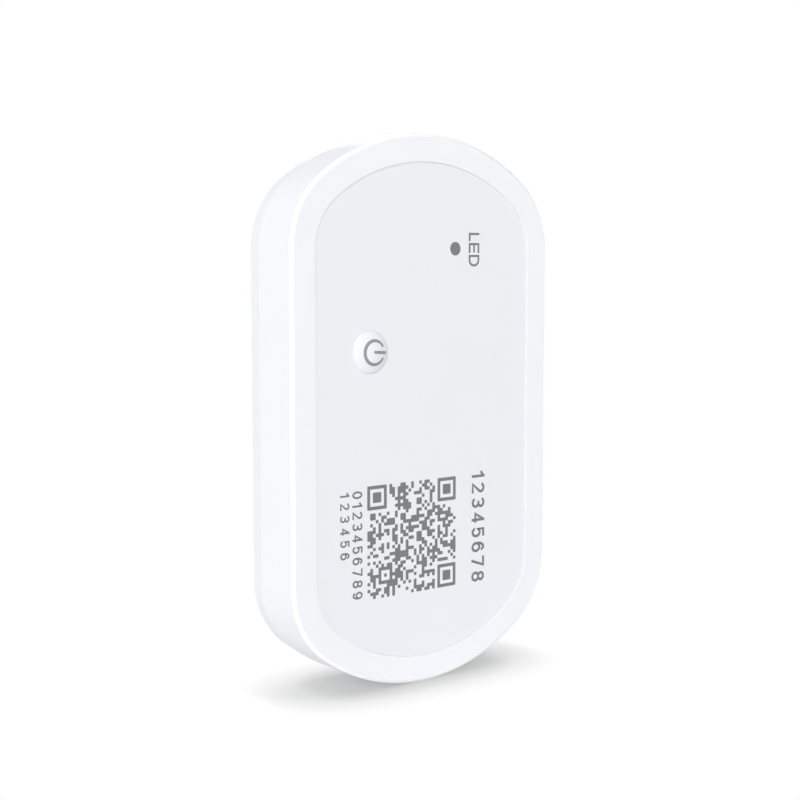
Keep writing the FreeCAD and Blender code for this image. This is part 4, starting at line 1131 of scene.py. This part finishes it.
# %% Lines of rolled metal
def make_rolling_group():
    tree, start, end = new_group("rolled_lines", {"Fineness": 9000.0}, ("Height", "Streak"))
    place = add_node(tree, "TexCoord").outputs["Object"]
    squeezed = add_node(tree, "Mapping", inputs={"Vector": place, "Scale": (0.04, 1.0, 1.0)})
    lines = add_node(tree, "TexNoise", inputs={
        "Vector": squeezed.outputs["Vector"], "Scale": start.outputs["Fineness"], "Detail": 4.0})
    streak = add_node(tree, "MapRange", inputs={
        "Value": lines.outputs["Fac"], "From Min": 0.35, "From Max": 0.65})
    tree.links.new(lines.outputs["Fac"], end.inputs["Height"])
    tree.links.new(streak.outputs["Result"], end.inputs["Streak"])
    return tree


rolling_group = make_rolling_group()

# %% [markdown]
# Edges that fingers touch get a little smoother than the faces beside them. The Geometry node's
# Pointiness finds the convex edges: it is a half on a flat face and more on an edge. A patchy
# noise keeps the polish from looking drawn on.

# %% Polish along the edges
EDGE_START = 0.51


def make_edge_group():
    tree, start, end = new_group("edge_polish", {"Reach": 0.03}, ("Mask",))
    point = add_node(tree, "NewGeometry").outputs["Pointiness"]
    place = add_node(tree, "TexCoord").outputs["Object"]
    patches = add_node(tree, "TexNoise", inputs={"Vector": place, "Scale": 400.0})
    edge_end = add_node(tree, "Math", {"operation": "ADD"}, {
        0: start.outputs["Reach"], 1: EDGE_START})
    edge = add_node(tree, "MapRange", inputs={
        "Value": point, "From Min": EDGE_START, "From Max": edge_end.outputs["Value"]})
    mask = add_node(tree, "Math", {"operation": "MULTIPLY"}, {
        0: edge.outputs["Result"], 1: patches.outputs["Fac"]})
    tree.links.new(mask.outputs["Value"], end.inputs["Mask"])
    return tree


edge_group = make_edge_group()

# %% [markdown]
# Every finish is made alike, so one function builds them all. A shared effect moves the colour
# between two close shades and the roughness between two limits, its height makes the bump, and
# the polish follows the edges. Colours are written as they look on screen, from 0 to 255, and
# turned into the linear values that a shader expects. A Mix node has several inputs of one name,
# so its two colours are reached by number.

# %% Shades and the start of a material
MIX_INPUTS = (6, 7)
MIX_OUTPUT = 2


def linear(*screen):
    """A shader colour from the three screen values of a shade."""
    values = []
    for number in screen:
        share = number / 255
        values.append(share / 12.92 if share <= 0.04045 else ((share + 0.055) / 1.055) ** 2.4)
    return (*values, 1.0)


def mixed_shade(tree, factor, *shades):
    """A shade that changes over the surface, between two colours or colour sockets."""
    mix = add_node(tree, "Mix", {"data_type": "RGBA"}, {"Factor": factor})
    for place, shade in zip(MIX_INPUTS, shades):
        if isinstance(shade, bpy.types.NodeSocket):
            tree.links.new(shade, mix.inputs[place])
        else:
            mix.inputs[place].default_value = shade
    return mix.outputs[MIX_OUTPUT]


def new_material(name):
    material = bpy.data.materials.new(name)
    material.use_nodes = True
    tree = material.node_tree
    tree.nodes.clear()
    shader = add_node(tree, "BsdfPrincipled")
    add_node(tree, "OutputMaterial", inputs={"Surface": shader.outputs["BSDF"]})
    return material, tree, shader


print(f"half grey on screen is {linear(127.5)[0]:.3f} to a shader")

# %% Finishes for moulded and for metal pieces
CHAMFER_SPREAD = 0.15
METAL_FINENESS = 9000.0
METAL_DEPTH = 0.002
METAL_STRENGTH = 0.25
POLISH = 0.1


def painted_highlight_mask(tree):
    """Mask of the painted highlight: one where a face turns halfway from the front to a side, else
    nought.
    """
    facing = add_node(tree, "NewGeometry").outputs["True Normal"]
    depthwise = add_node(tree, "SeparateXYZ", inputs={"Vector": facing}).outputs["Y"]
    amount = add_node(tree, "Math", {"operation": "ABSOLUTE"}, {0: depthwise}).outputs["Value"]
    return add_node(tree, "Math", {"operation": "COMPARE"}, {
        0: amount, 1: math.sqrt(0.5), 2: CHAMFER_SPREAD}).outputs["Value"]


def finish(name, effect, shades, rough, fineness, depth, strength, polish, painted_chamfer_highlight=None):
    """A material that follows a shared effect. Rough holds its smoothest and roughest value."""
    material, tree, shader = new_material(name)
    height, mask = add_node(tree, "Group", {"node_tree": effect}, {"Fineness": fineness}).outputs
    edge = add_node(tree, "Group", {"node_tree": edge_group})
    colour = mixed_shade(tree, mask, *[linear(*shade) for shade in shades])
    # Painted highlight: the chamfer gets a near-white shade of its own, so it stays bright.
    if painted_chamfer_highlight:
        colour = mixed_shade(tree, painted_highlight_mask(tree), colour, linear(*painted_chamfer_highlight))
    tree.links.new(colour, shader.inputs["Base Color"])
    base_rough = add_node(tree, "MapRange", inputs={
        "Value": mask, "To Min": rough[0], "To Max": rough[1]})
    worn = add_node(tree, "Math", {"operation": "MULTIPLY_ADD"}, {
        0: edge.outputs["Mask"], 1: -polish, 2: base_rough.outputs["Result"]})
    tree.links.new(worn.outputs["Value"], shader.inputs["Roughness"])
    bump = add_node(tree, "Bump", inputs={
        "Height": height, "Distance": depth * MM, "Strength": strength})
    tree.links.new(bump.outputs["Normal"], shader.inputs["Normal"])
    return material, shader


def moulded(name, shades, rough, fineness, depth, strength, gloss=0.5, painted_chamfer_highlight=None):
    """A moulded or coated face."""
    material, shader = finish(
        name, grain_group, shades, rough, fineness, depth, strength, POLISH, painted_chamfer_highlight)
    shader.inputs["Specular IOR Level"].default_value = gloss
    return material


def metal(name, shades, rough):
    """Bare sheet. Metallic is 1, and the shade tints the reflection."""
    polish = rough[0] / 2
    material, shader = finish(
        name, rolling_group, shades, rough, METAL_FINENESS, METAL_DEPTH, METAL_STRENGTH, polish)
    shader.inputs["Metallic"].default_value = 1.0
    return material


def dress(material, *pieces):
    """Give a material to pieces of the scene or to CAD nodes."""
    for piece in pieces:
        piece.data.materials.clear()
        piece.data.materials.append(material)
    print(f"{material.name} on {', '.join(piece.name for piece in pieces)}")


print(f"a chamfer's normal has {math.sqrt(0.5):.2f} of its length across and as much forward")

# %% [markdown]
# The case is white with a cool cast and a fine satin grain, and its narrow chamfer is painted
# whiter still: a painted highlight that keeps it the bright line along the left edge. The film is
# a shade greyer and smoother. The key has about the film's shade and hardly any gloss, so its dome
# turns from light to grey with no highlight. The print is a flat mid grey, the sign on the key is
# paler, and the lamp window has about the tone of the print.

# %% Finishes that show from outside
# The case's chamfer carries a painted highlight, a near-white shade laid on by its normal.
dress(
    moulded("case_white", ((243, 245, 248), (242, 244, 247)), (0.45, 0.53), fineness=6000.0,
            depth=0.004, strength=0.12, gloss=0.25, painted_chamfer_highlight=(254, 254, 255)),
    front_cover, rear_cover)
dress(
    moulded("label_film", ((236.5, 239, 242), (236, 238.5, 241.5)), (0.45, 0.52), fineness=9000.0,
            depth=0.002, strength=0.08, gloss=0.25),
    film)
dress(
    moulded("key_white", ((236, 238, 242), (238, 240, 244)), (0.42, 0.48), fineness=6000.0,
            depth=0.004, strength=0.06, gloss=0.03),
    power_key)
dress(
    moulded("ink_grey", ((124, 124, 125), (124, 124, 126)), (0.55, 0.65), fineness=12000.0,
            depth=0.002, strength=0.1, gloss=0.3),
    *ink_pieces)
dress(
    moulded("sign_grey", ((152, 153, 156), (149, 150, 153)), (0.5, 0.6), fineness=12000.0,
            depth=0.002, strength=0.1, gloss=0.1),
    power_sign)
dress(
    moulded("smoked_lens", ((126, 126, 128), (122, 122, 124)), (0.25, 0.3), fineness=3000.0,
            depth=0.001, strength=0.05, gloss=0.3),
    lamp_window)

# %% [markdown]
# The pieces inside keep their CAD meshes, because flat boards and small chips are already the
# right shape. They still get real finishes: satin green solder mask, black moulding compound,
# fired ceramic, grey silicone for the gasket, and bare or plated sheet for the metal pieces. Metal
# isn't another colour of plastic but another setting of the shader. Each row holds two shades
# and the limits of roughness, and pieces of one stuff share a row.

# %% Finishes of the pieces inside
INSIDE = {
    "case_gasket": ((96, 99, 104), (88, 91, 96), (0.6, 0.75)),
    "main_board": ((34, 92, 58), (28, 80, 50), (0.35, 0.45)),
    "switch_base": ((48, 48, 51), (40, 40, 43), (0.5, 0.6)),
    "switch_plunger": ((60, 60, 63), (52, 52, 55), (0.45, 0.55)),
    "cell_core": ((66, 66, 66), (50, 50, 50), (0.8, 0.95)),
    "cell_seal": ((205, 203, 196), (196, 193, 185), (0.5, 0.6)),
    "radio_chip memory_chip temperature_sensor": ((42, 42, 45), (34, 34, 37), (0.5, 0.65)),
    "indicator_led": ((236, 232, 214), (228, 222, 198), (0.2, 0.3)),
    "chip_antenna": ((214, 219, 224), (203, 209, 215), (0.4, 0.55)),
    "reservoir_capacitor": ((200, 160, 84), (188, 146, 70), (0.45, 0.55)),
    "chip_capacitors": ((176, 150, 122), (164, 137, 108), (0.4, 0.5)),
    "chip_resistors": ((52, 52, 56), (44, 44, 48), (0.3, 0.4)),
}
METALS = {
    "board_screws": ((196, 197, 202), (178, 180, 186), (0.3, 0.42)),
    "switch_terminals": ((222, 222, 224), (208, 208, 211), (0.25, 0.35)),
    "switch_dome": ((208, 208, 204), (194, 194, 190), (0.2, 0.3)),
    "switch_frame": ((208, 208, 204), (194, 194, 190), (0.25, 0.38)),
    "cell_can cell_cap": ((214, 214, 216), (200, 200, 203), (0.22, 0.34)),
    "cell_clip": ((206, 206, 202), (190, 190, 186), (0.28, 0.4)),
    "cell_contact": ((236, 200, 128), (226, 188, 112), (0.2, 0.3)),
    "radio_crystal clock_crystal": ((204, 203, 198), (190, 189, 184), (0.3, 0.4)),
    "chip_terminals": ((222, 222, 224), (208, 208, 211), (0.28, 0.38)),
}
INSIDE_GRAIN = (4000.0, 0.006, 0.4)
for names, (shade_a, shade_b, rough) in INSIDE.items():
    for node in names.split():
        material = moulded(node, (shade_a, shade_b), rough, *INSIDE_GRAIN)
        dress(material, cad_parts[node])
for names, (shade_a, shade_b, rough) in METALS.items():
    for node in names.split():
        dress(metal(node, (shade_a, shade_b), rough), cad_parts[node])
print(f"{len(bpy.data.materials)} finishes so far")

# %% [markdown]
# ## Floor and background
#
# The logger stands on its round lower end on a pale floor, and everything behind it is white.
# Lighting a floor until it burns out would burn out the white case as well. So the floor is pale
# under plain light, and rays straight from the camera or a mirror see it fade into white with the
# distance from the case. Two Ambient Occlusion nodes measure how much of the space round a point
# is open: one looks a few millimetres around, the other almost twice as far. Under the foot both
# find little open space, and there the floor shows a part of its real light and its soft shadow,
# and for the rest a grey glow: a painted shadow, laid on where the openness is low. To either side
# the case rises from the floor, and the nearer look lets the painted shadow end sooner there.

# %% Floor that fades to white away from the case, with a painted shadow at its foot
FLOOR_SIZE = 6000.0
FLOOR_SHADE = (240, 240, 241)
# The grey of the painted shadow round the foot of the case.
FOOT_PAINTED_SHADOW = (193, 193, 193)
NEAR_REACH = 3.7
WIDE_REACH = 7.3
CLOSED = 0.15
LEAST_GLOW = 0.65
OPENNESS_SAMPLES = 16
FULL_WHITE = (1.0, 1.0, 1.0, 1.0)


def seen_directly(tree):
    """One for rays from the camera, a mirror or a clear piece, and nought for scattered light."""
    path = add_node(tree, "LightPath")
    mirror = add_node(tree, "Math", {"operation": "MAXIMUM"}, {
        0: path.outputs["Is Glossy Ray"], 1: path.outputs["Is Transmission Ray"]})
    return add_node(tree, "Math", {"operation": "MAXIMUM"}, {
        0: path.outputs["Is Camera Ray"], 1: mirror.outputs["Value"]}).outputs["Value"]


ground = bmesh.new()
half_floor = FLOOR_SIZE / 2
corners = [(x * half_floor, y * half_floor) for x, y in ((-1, -1), (1, -1), (1, 1), (-1, 1))]
ground.faces.new([ground.verts.new((x, y, -half_length)) for x, y in corners])
floor = as_object(ground, "floor")
floor.data.transform(Matrix.Scale(MM, 4))
floor_finish, floor_tree, floor_shader = new_material("floor")
floor_shader.inputs["Base Color"].default_value = linear(*FLOOR_SHADE)
floor_shader.inputs["Roughness"].default_value = 0.9
floor_shader.inputs["Specular IOR Level"].default_value = 0.0
near, wide = [
    add_node(floor_tree, "AmbientOcclusion", {"samples": OPENNESS_SAMPLES}, {
        "Distance": reach * MM}).outputs["AO"]
    for reach in (NEAR_REACH, WIDE_REACH)
]
both = add_node(floor_tree, "Math", {"operation": "MULTIPLY"}, {0: near, 1: wide})
away = add_node(floor_tree, "MapRange", inputs={
    "Value": both.outputs["Value"], "From Min": CLOSED, "From Max": 1.0}).outputs["Result"]
more = add_node(floor_tree, "MapRange", inputs={
    "Value": away, "To Min": LEAST_GLOW, "To Max": 1.0})
share = add_node(floor_tree, "Math", {"operation": "MULTIPLY"}, {
    0: seen_directly(floor_tree), 1: more.outputs["Result"]})
# Painted shadow: near the foot the glow turns from white to grey by openness alone.
painted_shadow_colour = mixed_shade(floor_tree, away, linear(*FOOT_PAINTED_SHADOW), FULL_WHITE)
glow = add_node(floor_tree, "Emission", inputs={"Color": painted_shadow_colour})
fading = add_node(floor_tree, "MixShader", inputs={
    "Fac": share.outputs["Value"], 1: floor_shader.outputs["BSDF"], 2: glow.outputs["Emission"]})
floor_output = floor_tree.nodes["Material Output"]
floor_tree.links.new(fading.outputs["Shader"], floor_output.inputs["Surface"])
dress(floor_finish, floor)
print(f"the shadow on the floor ends within {WIDE_REACH} mm of the case")

# %% [markdown]
# ## Light
#
# The light is that of a product table. The room is dim at the height of the logger and brighter
# overhead, so the floor's real light keeps a soft shadow all round the foot of the case, and the
# floor's painted shadow deepens it. It is also brighter to the left than to the right. A large lamp
# at the front left lights the face, and together they turn the right side of the domed key grey. A
# second lamp behind the left side evens out the side wall, and a weak one from above lights the top
# edge. The last stands behind the right side. The portrait doesn't show what it lights, but from
# the right and the back the case is white too.

# %% World and lamps
ROOM_LOW = 0.35
ROOM_HIGH = 0.45
LEFT_SHARE = 1.9
RIGHT_SHARE = 0.1
CLIMB_START = 0.2
CLIMB_END = 0.8
LAMP_DISTANCE = 2500.0
LAMPS = {
    "front_lamp": (-38, 14, 0.588, 1700.0),
    "side_lamp": (-125, 10, 0.15, 2200.0),
    "top_lamp": (30, 55, 0.17, 1700.0),
    "back_lamp": (145, 8, 0.58, 700.0),
}

world = bpy.data.worlds.new("room")
bpy.context.scene.world = world
world.use_nodes = True
world_tree = world.node_tree
world_tree.nodes.clear()
heading = add_node(world_tree, "TexCoord").outputs["Generated"]
parts = add_node(world_tree, "SeparateXYZ", inputs={"Vector": heading})
climb = add_node(world_tree, "MapRange", {"interpolation_type": "SMOOTHSTEP"}, {
    "Value": parts.outputs["Z"], "From Min": CLIMB_START, "From Max": CLIMB_END,
    "To Min": ROOM_LOW, "To Max": ROOM_HIGH})
sideways = add_node(world_tree, "MapRange", inputs={
    "Value": parts.outputs["X"], "From Min": -1.0, "From Max": 1.0,
    "To Min": LEFT_SHARE, "To Max": RIGHT_SHARE})
room = add_node(world_tree, "Math", {"operation": "MULTIPLY"}, {
    0: climb.outputs["Result"], 1: sideways.outputs["Result"]})
around, behind = [
    add_node(world_tree, "Background", inputs={"Color": FULL_WHITE, "Strength": strength})
    for strength in (room.outputs["Value"], 1.0)
]
chooser = add_node(world_tree, "MixShader", inputs={
    "Fac": seen_directly(world_tree), 1: around.outputs[0], 2: behind.outputs[0]})
add_node(world_tree, "OutputWorld", inputs={"Surface": chooser.outputs["Shader"]})


def direction(azimuth, elevation):
    """A unit vector towards the front left for a negative azimuth."""
    flat = math.cos(elevation)
    return Vector((math.sin(azimuth) * flat, -math.cos(azimuth) * flat, math.sin(elevation)))


for name, (azimuth, elevation, share, width) in LAMPS.items():
    lamp_data = bpy.data.lights.new(name, "AREA")
    lamp_data.shape = "DISK"
    lamp_data.size = width * MM
    lamp_data.energy = share * (math.pi * LAMP_DISTANCE * MM) ** 2
    lamp = bpy.data.objects.new(name, lamp_data)
    bpy.context.scene.collection.objects.link(lamp)
    towards_lamp = direction(math.radians(azimuth), math.radians(elevation))
    lamp.location = towards_lamp * LAMP_DISTANCE * MM
    lamp.rotation_euler = towards_lamp.to_track_quat("Z", "Y").to_euler()
    print(f"{name}: {lamp_data.energy:.2f} W at {LAMP_DISTANCE:.0f} mm")

# %% [markdown]
# ## Camera
#
# The portrait is taken from the front left and a little above. The camera's place and lens come
# from fitting the outlines of the case and the label to the picture's perspective. It looks
# straight at a point on the front, so no shift is needed.

# %% Camera at the portrait's angle
AIM = Vector((-4.09, -8.7, 1.65))
TO_CAMERA = Vector((-104.13, -132.93, 16.21))
FOCAL_PIXELS = 1457.7
PICTURE_PIXELS = 800.0
SENSOR_WIDTH = 36.0

camera_data = bpy.data.cameras.new("portrait")
camera_data.sensor_width = SENSOR_WIDTH
camera_data.lens = FOCAL_PIXELS / PICTURE_PIXELS * SENSOR_WIDTH
camera_data.clip_start = 0.01
camera_data.clip_end = 20.0
camera = bpy.data.objects.new("portrait", camera_data)
bpy.context.scene.collection.objects.link(camera)
camera.location = (AIM + TO_CAMERA) * MM
camera.rotation_euler = TO_CAMERA.to_track_quat("Z", "Y").to_euler()
bpy.context.scene.camera = camera
bpy.context.scene.view_settings.view_transform = "Standard"
print(f"lens {camera_data.lens:.1f} mm, {TO_CAMERA.length:.0f} mm from the aim")
